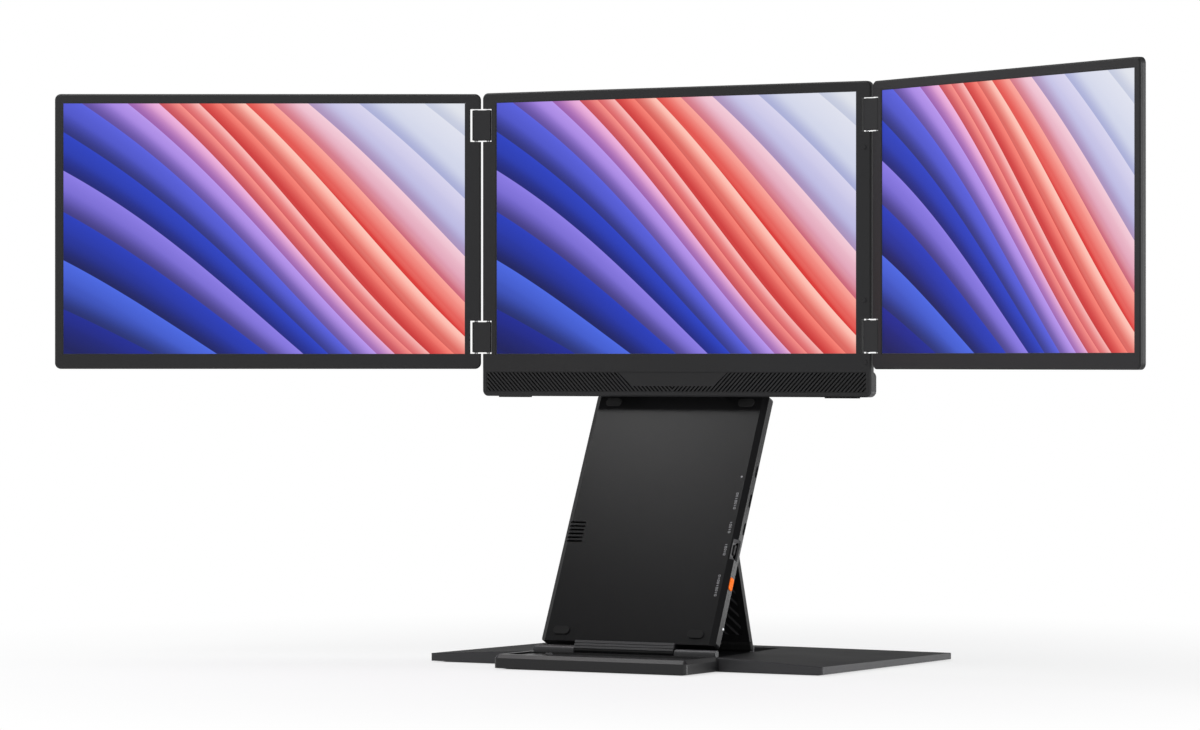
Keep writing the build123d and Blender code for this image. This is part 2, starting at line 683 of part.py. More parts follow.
arm_elbow = (tilt_y + 14.5, tilt_z + 0.2)
with BuildPart() as tilt_arms:
    tuck = on_plate(plate_top - 3.1, 5.2)
    for side in (-1, 1):
        x0 = side * arm_x - arm_w / 2
        plane = Plane(origin=(x0, 0, 0), x_dir=(0, 1, 0), z_dir=(1, 0, 0))
        with BuildSketch(plane) as profile:
            for a, b in (((tilt_y, tilt_z), arm_elbow), (arm_elbow, tuck)):
                with Locations(Location(((a[0] + b[0]) / 2, (a[1] + b[1]) / 2, 0),
                                        (0, 0, degrees(atan2(b[1] - a[1], b[0] - a[0]))))):
                    SlotCenterToCenter(hypot(b[0] - a[0], b[1] - a[1]), 2 * tilt_barrel_r)
        extrude(profile.sketch, amount=arm_w)
        slab(plate_face, x0, x0 + arm_w, plate_top - 19.0, plate_top - 3.0, 3.4, 2.6)
        rod((x0 - 1, tilt_y, tilt_z), (1, 0, 0), tilt_pin_r + 0.05, arm_w + 2, Mode.SUBTRACT)

ledge = 0.35                # height of the cover's ridges
cover_low = -0.4            # lower edge of the ridged cover, along the plate
with BuildPart() as knuckle_cover:
    ridges = [(cover_low, 2.0)]
    for low, high in ((cover_low, 1.1), (1.7, 3.3), (3.9, 6.1)):
        ridges += [(low + 0.2, 2.2), (high - 0.2, 2.2), (high, 2.2 - ledge),
                   (high + 0.6, 2.2 - ledge)]
    inside = [(6.1, 0.1), (5.8, 0.1), (5.8, -0.2), (3.2, -0.2), (1.3, 1.42), (cover_low, 1.42)]
    prism(plate_side(-cover_half), ridges[:-1] + inside, 2 * cover_half)

with BuildPart() as plate_knuckle:
    rod((-cover_half, hinge_y, hinge_z), (1, 0, 0), 2.9, 2 * cover_half)
    prism(plate_side(-cover_half), [(2.0, -0.3), (5.8, -0.3), (5.8, -4.0), (0.0, -4.0)],
          2 * cover_half)
    slab(plate_face, -leaf_half, leaf_half, 4.0, 24.0, 2.0, 2.0)
    rod((-cover_half - 1, hinge_y, hinge_z), (1, 0, 0), hinge_pin_r + 0.05, 2 * cover_half + 2,
        Mode.SUBTRACT)

ear_x = (leg_half_w + 0.4, leg_half_w + 4.4)
with BuildPart() as kickstand_bracket:
    slab(plate_face, -ear_x[1], ear_x[1], leg_pivot_s + 3.4, leg_pivot_s + 13.0, plate_t, 1.4)
    for side in (-1, 1):
        x0 = min(side * ear_x[0], side * ear_x[1])
        with BuildSketch(plate_side(x0)) as ear:
            Polygon((leg_pivot_s - 2.8, -plate_t), (leg_pivot_s + 13.0, -plate_t),
                    (leg_pivot_s + 13.0, -plate_t - 1.4), (leg_pivot_s + 2.8, -leg_pivot_depth),
                    (leg_pivot_s - 2.8, -leg_pivot_depth), align=None)
            with Locations((leg_pivot_s, -leg_pivot_depth)):
                Circle(2.8)
        extrude(ear.sketch, amount=ear_x[1] - ear_x[0])
    rod((-ear_x[1] - 1, *leg_pivot), (1, 0, 0), leg_pin_r, 2 * ear_x[1] + 2, Mode.SUBTRACT)

with BuildPart() as kickstand_pin:
    rod((-ear_x[1], *leg_pivot), (1, 0, 0), leg_pin_r, 2 * ear_x[1])

plate_pieces = {
    "plate_front_shell": plate_front_shell,
    "plate_back_shell": plate_back_shell,
    "main_board": main_board,
    "heat_spreader": heat_spreader,
    "port_shells": port_shells,
    "orange_insert": orange_insert,
    "status_led": status_led,
    "power_button": power_button,
    "plate_bumpers": plate_bumpers,
    "plate_screws": plate_screws,
    "tilt_arms": tilt_arms,
    "plate_knuckle": plate_knuckle,
    "knuckle_cover": knuckle_cover,
    "kickstand_bracket": kickstand_bracket,
    "kickstand_pin": kickstand_pin,
}

# ---------------------------------------------------------------- kickstand
foot_start = leg_len - 7.8
rail_w = 5.5
rib_pitch = 9.0
window = (leg_half_w - rail_w, -foot_start + rail_w, -7.5)    # half width, lower and upper edge
with BuildPart() as kickstand_leg:
    slab(leg_face, -leg_half_w, leg_half_w, -foot_start, 0, -leg_t / 2, leg_t)
    slab(leg_face, -window[0], window[0], window[1], window[2], -leg_t / 2, leg_t,
         mode=Mode.SUBTRACT)
    slab(leg_face, -window[0], window[0], window[1], window[2], -0.8, 1.6)
    with BuildSketch(leg_face.offset(leg_t / 2)) as ribs:
        for step in range(-12, 13):
            with Locations(Location((step * rib_pitch, (window[1] + window[2]) / 2, 0),
                                    (0, 0, 45))):
                Rectangle(1.6, 170)
        with Locations((0, (window[1] + window[2]) / 2)):
            Rectangle(2 * window[0], window[2] - window[1], mode=Mode.INTERSECT)
    extrude(ribs.sketch, amount=-leg_t)
    slab(leg_face, -leg_half_w + 3, leg_half_w - 3, -foot_start - 3, -foot_start + 1, -0.8, 1.6)
    rod((-leg_half_w, *leg_pivot), (1, 0, 0), leg_barrel_r, 2 * leg_half_w)
    rod((-leg_half_w - 1, *leg_pivot), (1, 0, 0), leg_pin_r + 0.05, 2 * leg_half_w + 2,
        Mode.SUBTRACT)

with BuildPart() as kickstand_foot:
    slab(leg_face, -leg_half_w, leg_half_w, -leg_len + leg_t / 2, -foot_start, -leg_t / 2, leg_t)
    tip = leg_face.from_local_coords((-leg_half_w, -leg_len + leg_t / 2, 0))
    rod(tip, (1, 0, 0), leg_t / 2, 2 * leg_half_w)
    slab(leg_face, -leg_half_w + 3, leg_half_w - 3, -foot_start - 3, -foot_start + 1, -0.8, 1.6,
         mode=Mode.SUBTRACT)

# ---------------------------------------------------------------- base
pad_x = base_half_w - 27.0
pad_inset = 24.0                # from an edge to the middle of the pads along it
pad_boxes = [(0, 0, 80, 12)]
for side in (-1, 1):
    pad_boxes += [(side * pad_x, base_front_y + pad_inset, 30, 8),
                  (side * pad_x, base_back_y - pad_inset, 30, 8),
                  (side * (foot_block_half_w - 21), foot_block_front_y + pad_inset, 30, 8)]
screw_x = base_half_w - 8.0
screw_rows = (base_front_y + 10, (base_front_y + base_back_y) / 2, base_back_y - 10)
base_screw_spots = [(side * screw_x, y) for side in (-1, 1) for y in screw_rows]
base_screw_spots += [(side * 24, base_back_y - 12) for side in (-1, 1)]


def well(play):
    """Outline of the right ballast well, drawn in by a play on every side."""
    front = base_front_y + 7.0 + play
    back = pocket_back_y - 6.0 - play
    outer = base_half_w - well_wall_out - play
    return [(pocket_front_half + 7.1 + play, front), (outer, front), (outer, back),
            (pocket_back_half + well_wall_in + 1.5 * play, back)]



def base_section(y, half_crest, crest, tip):
    """Cross-section of the base's body: flat below, a low roof above."""
    plane = Plane(origin=(0, y, underside), x_dir=(-1, 0, 0), z_dir=(0, 1, 0))
    with BuildSketch(plane) as section:
        Polygon((-base_half_w, 0), (base_half_w, 0), (base_half_w, tip), (half_crest, crest),
                (-half_crest, crest), (-base_half_w, tip), align=None)
    return section.sketch


with BuildPart() as base_body:
    loft([base_section(base_front_y, crest_front_x, crest_front_h, tip_front_h).face(),
          base_section(base_back_y, crest_back_x, crest_back_h, tip_back_h).face()], ruled=True)
    fillet(base_body.edges().filter_by(Axis.Z).group_by(Axis.Y)[0], 1.6)
    fillet(base_body.edges().filter_by(Axis.Z).group_by(Axis.Y)[-1], 3.2)
    for side in (-1, 1):
        crest = Vector(side * crest_front_x, base_front_y, underside + crest_front_h)
        run = Vector(side * base_half_w, base_front_y, underside + tip_front_h) - crest
        prism(Plane(origin=crest - run.normalized() * 3.5, x_dir=(0, 1, 0), z_dir=run),
              [(base_edge, 0), (0, -side * base_edge), (-1, -side), (-1, side), (base_edge, side)],
              run.length + 6, Mode.SUBTRACT)
    prism(Plane.XY, [(-pocket_front_half, base_front_y - 1), (pocket_front_half, base_front_y - 1),
                     (pocket_front_half, base_front_y), (pocket_back_half, pocket_back_y),
                     (-pocket_back_half, pocket_back_y), (-pocket_front_half, base_front_y)], 20,
          Mode.SUBTRACT)
    with BuildSketch(Plane.XY.offset(underside)) as recess:
        with Locations((0, (base_front_y + base_back_y) / 2)):
            RectangleRounded(2 * (base_half_w - sheet_margin),
                             base_back_y - base_front_y - 2 * sheet_margin, 3)
    extrude(recess.sketch, amount=sheet_t, mode=Mode.SUBTRACT)
    for side in (-1, 1):
        prism(Plane.XY.offset(underside), [(side * x, y) for x, y in well(0)], sheet_t + 2.2,
              Mode.SUBTRACT)
    for x, y in base_screw_spots:
        rod((x, y, underside), (0, 0, 1), 1.0, 3.6, Mode.SUBTRACT)

with BuildPart() as base_sheet:
    with BuildSketch(Plane.XY.offset(underside)) as recess:
        with Locations((0, (base_front_y + base_back_y) / 2)):
            RectangleRounded(2 * (base_half_w - sheet_margin - fit),
                             base_back_y - base_front_y - 2 * (sheet_margin + fit), 3)
    extrude(recess.sketch, amount=sheet_t)
    for x, y in base_screw_spots:
        rod((x, y, 0), (0, 0, 1), 2.0, 5, Mode.SUBTRACT)

with BuildPart() as base_ballast:
    for side in (-1, 1):
        prism(Plane.XY.offset(underside + sheet_t), [(side * x, y) for x, y in well(1.0)], 2.1)

with BuildPart() as base_screws:
    for x, y in base_screw_spots:
        rod((x, y, underside + 0.2), (0, 0, 1), 2.0, sheet_t - 0.2)
        rod((x, y, underside + 0.5), (0, 0, 1), 1.0, 3.0)

with BuildPart() as hinge_block:
    top = underside + foot_block_h
    with BuildSketch(Plane.XY.offset(underside)) as plan:
        with Locations((0, (foot_block_front_y + base_front_y - 0.2) / 2)):
            Rectangle(2 * foot_block_half_w, base_front_y - 0.2 - foot_block_front_y)
    extrude(plan.sketch, amount=foot_block_h)
    uprights = hinge_block.edges().filter_by(Axis.Z).group_by(Axis.Y)[0]
    fillet(uprights, 3.5)
    rim = hinge_block.faces().sort_by(Axis.Z)[-1].edges().sort_by(Axis.Y)[:-1]
    chamfer(rim, 2.6)
    with BuildSketch(Plane.XY.offset(top)) as tray:
        with Locations((0, -97.6)):
            RectangleRounded(2 * foot_block_half_w - 12, 35.6, 1.5)
    extrude(tray.sketch, amount=-1.2, mode=Mode.SUBTRACT)
    with BuildSketch(Plane.XY.offset(top)) as gap:
        with Locations((0, base_front_y - 1.3)):
            Rectangle(2 * cover_half + 1.0, 3.6)
    extrude(gap.sketch, amount=-6.0, mode=Mode.SUBTRACT)

pin_half = plate_half + 2.5
knuckle_r = 2.7
floor_z = underside + sheet_t
with BuildPart() as base_knuckles:
    for side in (-1, 1):
        x0 = min(side * (cover_half + 0.5), side * pin_half)
        with BuildSketch(Plane(origin=(x0, 0, 0), x_dir=(0, 1, 0), z_dir=(1, 0, 0))) as web:
            Polygon((base_front_y - 0.2, floor_z), (base_front_y - 0.2, floor_z + 7.4),
                    (hinge_y - knuckle_r, floor_z + 7.4), (hinge_y - knuckle_r, hinge_z),
                    (hinge_y + knuckle_r, hinge_z), (hinge_y + knuckle_r, floor_z), align=None)
            with Locations((hinge_y, hinge_z)):
                Circle(knuckle_r)
        extrude(web.sketch, amount=pin_half - cover_half - 0.5)
    rod((-pin_half - 1, hinge_y, hinge_z), (1, 0, 0), hinge_pin_r, 2 * pin_half + 2, Mode.SUBTRACT)

with BuildPart() as hinge_pin:
    rod((-pin_half, hinge_y, hinge_z), (1, 0, 0), hinge_pin_r, 2 * pin_half)
    for side in (-1, 1):
        rod((side * pin_half, hinge_y, hinge_z), (side, 0, 0), knuckle_r, 0.7)
    fillet(hinge_pin.faces().filter_by(Axis.X).sort_by(Axis.X)[-1].edges(), 0.3)
    fillet(hinge_pin.faces().filter_by(Axis.X).sort_by(Axis.X)[0].edges(), 0.3)

cradle_r = leg_len + 0.35


def by_leg(along, behind):
    """Y and Z of a point along the leg from its pivot and behind its middle."""
    return (leg_pivot[0] + along * sin(leg_angle) + behind * cos(leg_angle),
            leg_pivot[1] - along * cos(leg_angle) + behind * sin(leg_angle))


def on_arc(y):
    """Point of the cradle's arc about the leg's pivot."""
    return (y, leg_pivot[1] - sqrt(cradle_r ** 2 - (y - leg_pivot[0]) ** 2))


with BuildPart() as foot_rest:
    wall_foot = by_leg(sqrt(cradle_r ** 2 - 2.3 ** 2), 2.3)
    wall_top = by_leg(117.6, 2.3)
    with BuildSketch(Plane(origin=(2 - leg_half_w, 0, 0), x_dir=(0, 1, 0),
                           z_dir=(1, 0, 0))) as section:
        with BuildLine():
            RadiusArc(on_arc(10), wall_foot, -cradle_r)
            Polyline(wall_foot, wall_top, (38, wall_top[1]), (38, floor_z), (10, floor_z),
                     on_arc(10))
        make_face()
    extrude(section.sketch, amount=2 * (leg_half_w - 2))

with BuildPart() as base_pads:
    for x, y, long, wide in pad_boxes:
        with BuildSketch(Plane.XY) as pad:
            with Locations((x, y)):
                RectangleRounded(long, wide, wide / 2 - 0.5)
        extrude(pad.sketch, amount=pad_proud)
    chamfer(base_pads.faces().sort_by(Axis.Z)[:len(pad_boxes)].edges(), 0.25)

with BuildPart() as stop_bump:
    rod((-48.3, -95.5, underside + foot_block_h - 1.2), (0, 0, 1), 2.6, 1.7)
    fillet(stop_bump.faces().sort_by(Axis.Z)[-1].edges(), 0.8)

stand_pieces = {
    "kickstand_leg": kickstand_leg,
    "kickstand_foot": kickstand_foot,
    "base_body": base_body,
    "base_sheet": base_sheet,
    "base_ballast": base_ballast,
    "base_screws": base_screws,
    "hinge_block": hinge_block,
    "base_knuckles": base_knuckles,
    "hinge_pin": hinge_pin,
    "foot_rest": foot_rest,
    "base_pads": base_pads,
    "stop_bump": stop_bump,
}
for pieces in (centre_pieces, plate_pieces, stand_pieces):
    for piece_name, piece in pieces.items():
        save(piece, piece_name)
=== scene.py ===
"""Finish of a triple-screen laptop extender on its easel stand.

Metres, in the part's own frame: +X along the row of screens, -Y towards the viewer, +Z up.
"""

from functools import partial
from math import cos, pi, radians, sin

import bmesh
import bpy
import numpy as np
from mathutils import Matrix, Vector


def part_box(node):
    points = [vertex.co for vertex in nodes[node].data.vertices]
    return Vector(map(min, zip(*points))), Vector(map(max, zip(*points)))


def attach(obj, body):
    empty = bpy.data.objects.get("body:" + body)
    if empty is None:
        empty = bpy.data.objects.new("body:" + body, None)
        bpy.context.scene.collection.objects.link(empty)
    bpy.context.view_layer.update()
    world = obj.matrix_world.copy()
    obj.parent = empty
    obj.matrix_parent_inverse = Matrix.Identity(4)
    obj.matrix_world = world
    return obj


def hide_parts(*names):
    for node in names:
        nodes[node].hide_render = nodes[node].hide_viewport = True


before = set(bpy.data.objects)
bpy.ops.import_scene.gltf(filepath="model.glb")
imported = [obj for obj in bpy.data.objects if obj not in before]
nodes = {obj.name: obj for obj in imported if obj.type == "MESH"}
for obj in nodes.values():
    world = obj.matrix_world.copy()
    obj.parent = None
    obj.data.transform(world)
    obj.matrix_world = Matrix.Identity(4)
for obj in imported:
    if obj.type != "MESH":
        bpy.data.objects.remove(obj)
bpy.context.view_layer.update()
mm = 0.001

# ---------------------------------------------------------------- places on the object
# Millimetres; a depth is counted from the front of a screen or of the plate.
panel_t = 5.5                                   # thickness of a screen
wing_turn = radians(30.0)
wing_shaft = np.array([168.1263, 0.2912])       # X and Y of the right block's outer shaft
wing_active = np.array([8.15, 309.75])          # lit area along the wing from that shaft
wing_low, wing_high = 218.2, 418.7              # lower and upper edge of a wing
centre_shaft = np.array([158.95, panel_t / 2])  # X and Y of the right block's inner shaft
centre_active = 150.8                           # half the width of the centre's lit area
screen_low, screen_high = 226.3, 414.8          # lower and upper edge of the lit areas
lit_ratio = 1.6                                 # width of a lit area by its height
glass_depth = 0.8
block_lows, block_h = (227.8, 386.6), 22.7      # hinge blocks: lower ends and height

plate_lean = radians(25.07)
plate_hinge = np.array([-69.5, 12.5])           # Y and Z of the plate's hinge axis
plate_front = 1.6                               # from the hinge axis to the plate's face
plate_half = 72.0                               # half the plate's width
x_way, y_way, z_way = np.eye(3)
along_plate = np.array([0.0, sin(plate_lean), cos(plate_lean)])
into_plate = np.array([0.0, cos(plate_lean), -sin(plate_lean)])
plate_foot = np.array([0.0, *plate_hinge]) - plate_front * into_plate


def plate_point(x, s, depth):
    """Point at x across the plate, s up it from the hinge axis and a depth behind its face."""
    x, s, depth = np.broadcast_arrays(x, s, depth)
    return (x[..., None] * x_way + plate_foot + s[..., None] * along_plate
            + depth[..., None] * into_plate)


def wing_point(side, u, z, depth):
    """Point on a wing: u along it from its shaft, z up, depth behind its front; side is 1 or -1."""
    u, z, depth = np.broadcast_arrays(u, z, depth)
    along = np.array([cos(wing_turn), -sin(wing_turn)])
    back = np.array([sin(wing_turn), cos(wing_turn)])
    flat = wing_shaft + u[..., None] * along + (depth - panel_t / 2)[..., None] * back
    return np.stack([side * flat[..., 0], flat[..., 1], z], axis=-1)


leg_pivot = plate_point(0.0, 128.0, 12.8)
leg_tip = np.array([0.0, 31.5, 8.6])
leg_len = float(np.linalg.norm(leg_tip - leg_pivot))
leg_way = (leg_tip - leg_pivot) / leg_len
leg_back = np.array([0.0, -leg_way[2], leg_way[1]])
leg_half_w, leg_t, foot_len = 50.0, 4.0, 7.8
rib_pitch, rib_reach = 9.0, 44.4                # the leg's ribs: pitch, and reach to each side
rib_first, rib_last = 7.5, leg_len - foot_len - 5.5     # their span down the leg

# ---------------------------------------------------------------- node helpers
class Tree:
    """Short names for adding and joining nodes in one node tree."""

    def __init__(self, tree):
        self.tree = tree

    def add(self, kind, values=None, inputs=None, **settings):
        """A node with its settings, its plain input values and its joined inputs."""
        node = self.tree.nodes.new(kind)
        for name, value in settings.items():
            setattr(node, name, value)
        for key, value in (values or {}).items():
            node.inputs[key].default_value = value
        for key, source in (inputs or {}).items():
            self.tree.links.new(source, node.inputs[key])
        return node

    def math(self, operation, a, b=None, c=None, clamp=False):
        """One Math node; each operand is a number or a socket."""
        node = self.tree.nodes.new("ShaderNodeMath")
        node.operation = operation
        node.use_clamp = clamp
        for index, operand in enumerate((a, b, c)):
            if operand is None:
                continue
            if isinstance(operand, (int, float)):
                node.inputs[index].default_value = operand
            else:
                self.tree.links.new(operand, node.inputs[index])
        return node.outputs[0]

    def mix(self, factor, a, b, blend="MIX"):
        """A colour mix; a and b are colours or sockets, the factor a number or a socket."""
        node = self.tree.nodes.new("ShaderNodeMix")
        node.data_type = "RGBA"
        node.blend_type = blend
        for socket, operand in ((node.inputs[0], factor), (node.inputs[6], a), (node.inputs[7], b)):
            if isinstance(operand, (int, float)):
                socket.default_value = operand
            elif isinstance(operand, (tuple, list)):
                socket.default_value = (*operand, 1.0)
            else:
                self.tree.links.new(operand, socket)
        return node.outputs[2]

    def ramp(self, value, low, high, out_low=0.0, out_high=1.0, smooth=True):
        """Maps a value from one span to another, clamped, with soft ends."""
        node = self.tree.nodes.new("ShaderNodeMapRange")
        node.interpolation_type = "SMOOTHSTEP" if smooth else "LINEAR"
        self.tree.links.new(value, node.inputs[0])
        for index, number in enumerate((low, high, out_low, out_high), start=1):
            node.inputs[index].default_value = number
        return node.outputs[0]

    def band(self, value, low, high, soft):
        """One between two limits and nothing outside them, with soft ends."""
        return self.math("MULTIPLY", self.ramp(value, low - soft, low + soft),
                         self.ramp(value, high + soft, high - soft))

    def along(self, place, origin, way):
        """Millimetres along a direction from a point of the object."""
        shift = self.add("ShaderNodeVectorMath", {1: tuple(origin * mm)}, {0: place},
                         operation="SUBTRACT")
        reach = self.add("ShaderNodeVectorMath", {1: tuple(way / mm)}, {0: shift.outputs[0]},
                         operation="DOT_PRODUCT")
        return reach.outputs["Value"]

    def join(self, source, target):
        """A link from a socket to a socket."""
        self.tree.links.new(source, target)


def make_group(name, inputs, outputs):
    """An empty shader group with named sockets; inputs map a name to its type and value."""
    group = bpy.data.node_groups.new(name, "ShaderNodeTree")
    for socket, (kind, value) in inputs.items():
        made = group.interface.new_socket(socket, in_out="INPUT", socket_type=kind)
        if value is not None:
            made.default_value = value
    for socket, kind in outputs.items():
        group.interface.new_socket(socket, in_out="OUTPUT", socket_type=kind)
    tree = Tree(group)
    return group, tree, tree.add("NodeGroupInput"), tree.add("NodeGroupOutput")


FLOAT, VECTOR, COLOUR = "NodeSocketFloat", "NodeSocketVector", "NodeSocketColor"


def moulded_grain():
    """Fine spark-eroded grain of a moulding, with slow patches of shade and of gloss."""
    group, t, given, out = make_group(
        "moulded grain",
        {"Place": (VECTOR, None), "Grain size": (FLOAT, 0.35), "Patchiness": (FLOAT, 0.1)},
        {"Height": FLOAT, "Shade": FLOAT, "Gloss": FLOAT})
    rate = t.math("DIVIDE", 1000.0, given.outputs["Grain size"])
    fine = t.add("ShaderNodeTexNoise", {"Detail": 3.0, "Roughness": 0.6},
                 {"Vector": given.outputs["Place"], "Scale": rate})
    pits = t.add("ShaderNodeTexVoronoi", {"Randomness": 1.0},
                 {"Vector": given.outputs["Place"], "Scale": rate}, feature="F1")
    height = t.math("MULTIPLY_ADD", pits.outputs[0], 0.5, fine.outputs[0])
    slow = t.add("ShaderNodeTexNoise", {"Scale": 9.0, "Detail": 4.0, "Roughness": 0.55},
                 {"Vector": given.outputs["Place"]})
    swing = t.math("MULTIPLY", t.math("SUBTRACT", slow.outputs[0], 0.5), given.outputs["Patchiness"])
    t.join(height, out.inputs["Height"])
    t.join(t.math("ADD", t.math("ADD", 1.0, swing),
                  t.math("MULTIPLY", t.math("SUBTRACT", fine.outputs[0], 0.5), 0.12)),
           out.inputs["Shade"])
    t.join(t.math("MULTIPLY", swing, 0.6), out.inputs["Gloss"])
    return group


def drawn_lines():
    """Fine parallel lines of brushed or ground metal, stretched along one axis."""
    group, t, given, out = make_group(
        "drawn lines",
        {"Place": (VECTOR, None), "Stretch": (VECTOR, (1.0, 60.0, 60.0)), "Rate": (FLOAT, 60.0)},
        {"Height": FLOAT, "Shade": FLOAT, "Gloss": FLOAT})
    stretched = t.add("ShaderNodeVectorMath", None,
                      {0: given.outputs["Place"], 1: given.outputs["Stretch"]}, operation="MULTIPLY")
    lines = t.add("ShaderNodeTexNoise", {"Detail": 4.0, "Roughness": 0.7},
                  {"Vector": stretched.outputs[0], "Scale": given.outputs["Rate"]})
    t.join(lines.outputs[0], out.inputs["Height"])
    t.join(t.math("ADD", 0.88, t.math("MULTIPLY", lines.outputs[0], 0.24)), out.inputs["Shade"])
    t.join(t.math("MULTIPLY", t.math("SUBTRACT", lines.outputs[0], 0.5), 0.25), out.inputs["Gloss"])
    return group


def settled_dust():
    """A thin veil of dust that lies on faces that look up, thicker in slow patches."""
    group, t, given, out = make_group(
        "settled dust", {"Place": (VECTOR, None), "Amount": (FLOAT, 0.15)}, {"Mask": FLOAT})
    facing = t.add("ShaderNodeNewGeometry")
    up = t.add("ShaderNodeSeparateXYZ", None, {0: facing.outputs["Normal"]})
    cloud = t.add("ShaderNodeTexNoise", {"Scale": 40.0, "Detail": 6.0, "Roughness": 0.7},
                  {"Vector": given.outputs["Place"]})
    lying = t.ramp(up.outputs[2], 0.6, 1.0)
    veil = t.math("MULTIPLY", lying, t.ramp(cloud.outputs[0], 0.42, 0.75))
    t.join(t.math("MULTIPLY", veil, given.outputs["Amount"]), out.inputs["Mask"])
    return group


def upright_faces():
    """A mask of the faces that stand upright, with a soft change on the bevels between."""
    group, t, given, out = make_group("upright faces", {}, {"Mask": FLOAT})
    facing = t.add("ShaderNodeNewGeometry")
    up = t.add("ShaderNodeSeparateXYZ", None, {0: facing.outputs["Normal"]})
    t.join(t.ramp(t.math("ABSOLUTE", up.outputs[2]), 0.85, 0.55), out.inputs["Mask"])
    return group


grain_group = moulded_grain()
line_group = drawn_lines()
dust_group = settled_dust()
upright_group = upright_faces()


def shader(name, rough=0.5, metal=0.0, coat=0.0, shine=0.5):
    """A material with its Principled shader, ready to be joined to."""
    material = bpy.data.materials.new(name)
    material.use_nodes = True
    tree = Tree(material.node_tree)
    principled = material.node_tree.nodes["Principled BSDF"]
    principled.inputs["Roughness"].default_value = rough
    principled.inputs["Metallic"].default_value = metal
    principled.inputs["Coat Weight"].default_value = coat
    principled.inputs["Specular IOR Level"].default_value = shine
    place = tree.add("ShaderNodeTexCoord").outputs["Object"]
    return material, tree, principled, place


def raise_bump(tree, principled, height, distance):
    """Feeds a height into the shader's normal."""
    bump = tree.add("ShaderNodeBump", {"Strength": 1.0, "Distance": distance}, {"Height": height})
    tree.join(bump.outputs[0], principled.inputs["Normal"])


def moulding(name, colour, rough, grain=0.35, bump=0.01, patch=0.25, dust=0.05, shine=0.3):
    """A grained plastic or a painted casting."""
    material, t, principled, place = shader(name, rough, shine=shine)
    grains = t.add("ShaderNodeGroup", {"Grain size": grain, "Patchiness": patch}, {"Place": place},
                   node_tree=grain_group)
    veil = t.add("ShaderNodeGroup", {"Amount": dust}, {"Place": place}, node_tree=dust_group)
    shaded = t.mix(1.0, colour, grains.outputs["Shade"], "MULTIPLY")
    t.join(t.mix(veil.outputs["Mask"], shaded, (0.20, 0.195, 0.19)), principled.inputs["Base Color"])
    gloss = t.math("ADD", t.math("ADD", grains.outputs["Gloss"], rough),
                   t.math("MULTIPLY", veil.outputs["Mask"], 0.3), clamp=True)
    t.join(gloss, principled.inputs["Roughness"])
    raise_bump(t, principled, grains.outputs["Height"], bump * mm)
    return material


def bare_metal_sides_and_painted_light(material, colour, rough, metallic):
    """Turns the upright faces of a grained finish to a smoother, partly bare metal, and paints light
    on them: a lighter colour than the tops get.
    """
    t = Tree(material.node_tree)
    principled = material.node_tree.nodes["Principled BSDF"]
    mask = t.add("ShaderNodeGroup", node_tree=upright_group).outputs["Mask"]
    for socket, value in (("Base Color", colour), ("Roughness", (rough,) * 3)):
        grained = principled.inputs[socket].links[0].from_socket
        t.join(t.mix(mask, grained, value), principled.inputs[socket])
    t.join(t.math("MULTIPLY", mask, metallic), principled.inputs["Metallic"])
    return material


def mix_in_painted_light(material, colour, mask_of):
    """Mixes a colour into a grained finish where a mask of the object's coordinates is one; used to
    paint light and highlights.
    """
    t = Tree(material.node_tree)
    base = material.node_tree.nodes["Principled BSDF"].inputs["Base Color"]
    place = t.add("ShaderNodeTexCoord").outputs["Object"]
    t.join(t.mix(mask_of(t, place), base.links[0].from_socket, colour), base)
    return material


# The button's recess, a box just inside the plate's right flank, whose walls get painted light: its
# span along each way.
recess_spans = [(x_way, 68.9, 71.8), (along_plate, 73.4, 88.8), (into_plate, 0.2, 6.7)]


def recess_painted_light(t, place):
    """Mask of the painted light on the walls of the button's recess: the product of a band along each
    way.
    """
    across, up, behind = (t.band(t.along(place, plate_foot, way), low, high, 0.05)
                          for way, low, high in recess_spans)
    return t.math("MULTIPLY", across, t.math("MULTIPLY", up, behind))


def rib_painted_highlights(t, place):
    """Mask of the crests of the leg's slanted ribs, which get a lighter colour as a painted highlight.

    A crest lies wherever x less the way down is a whole number of pitches from the ribs' middle.
    """
    crest_half, crest_edge = 1.0, 1.2
    web_half, crest_rise = 1.3, 1.7             # from the leg's middle, to the web and the crests
    soft = 0.1
    across = t.along(place, leg_pivot, x_way)
    down = t.along(place, leg_pivot, leg_way)
    slant = t.math("SUBTRACT", across, t.math("SUBTRACT", down, (rib_first + rib_last) / 2))
    from_rib = t.math("PINGPONG", slant, rib_pitch / 2)
    crest = t.ramp(from_rib, crest_edge, crest_half)
    behind = t.along(place, leg_pivot, leg_back)
    proud = t.ramp(t.math("ABSOLUTE", behind), web_half, crest_rise)
    inside = t.math("MULTIPLY", t.band(across, -rib_reach, rib_reach, soft),
                    t.band(down, rib_first + soft, rib_last - soft, soft))
    return t.math("MULTIPLY", t.math("MULTIPLY", crest, proud), inside)


def metal(name, colour, rough, stretch=(1.0, 60.0, 60.0), rate=60.0, bump=0.01, metallic=1.0):
    """A ground, drawn or brushed metal."""
    material, t, principled, place = shader(name, rough, metal=metallic)
    lines = t.add("ShaderNodeGroup", {"Stretch": stretch, "Rate": rate}, {"Place": place},
                  node_tree=line_group)
    t.join(t.mix(1.0, colour, lines.outputs["Shade"], "MULTIPLY"), principled.inputs["Base Color"])
    t.join(t.math("ADD", rough, lines.outputs["Gloss"], clamp=True), principled.inputs["Roughness"])
    raise_bump(t, principled, lines.outputs["Height"], bump * mm)
    return material


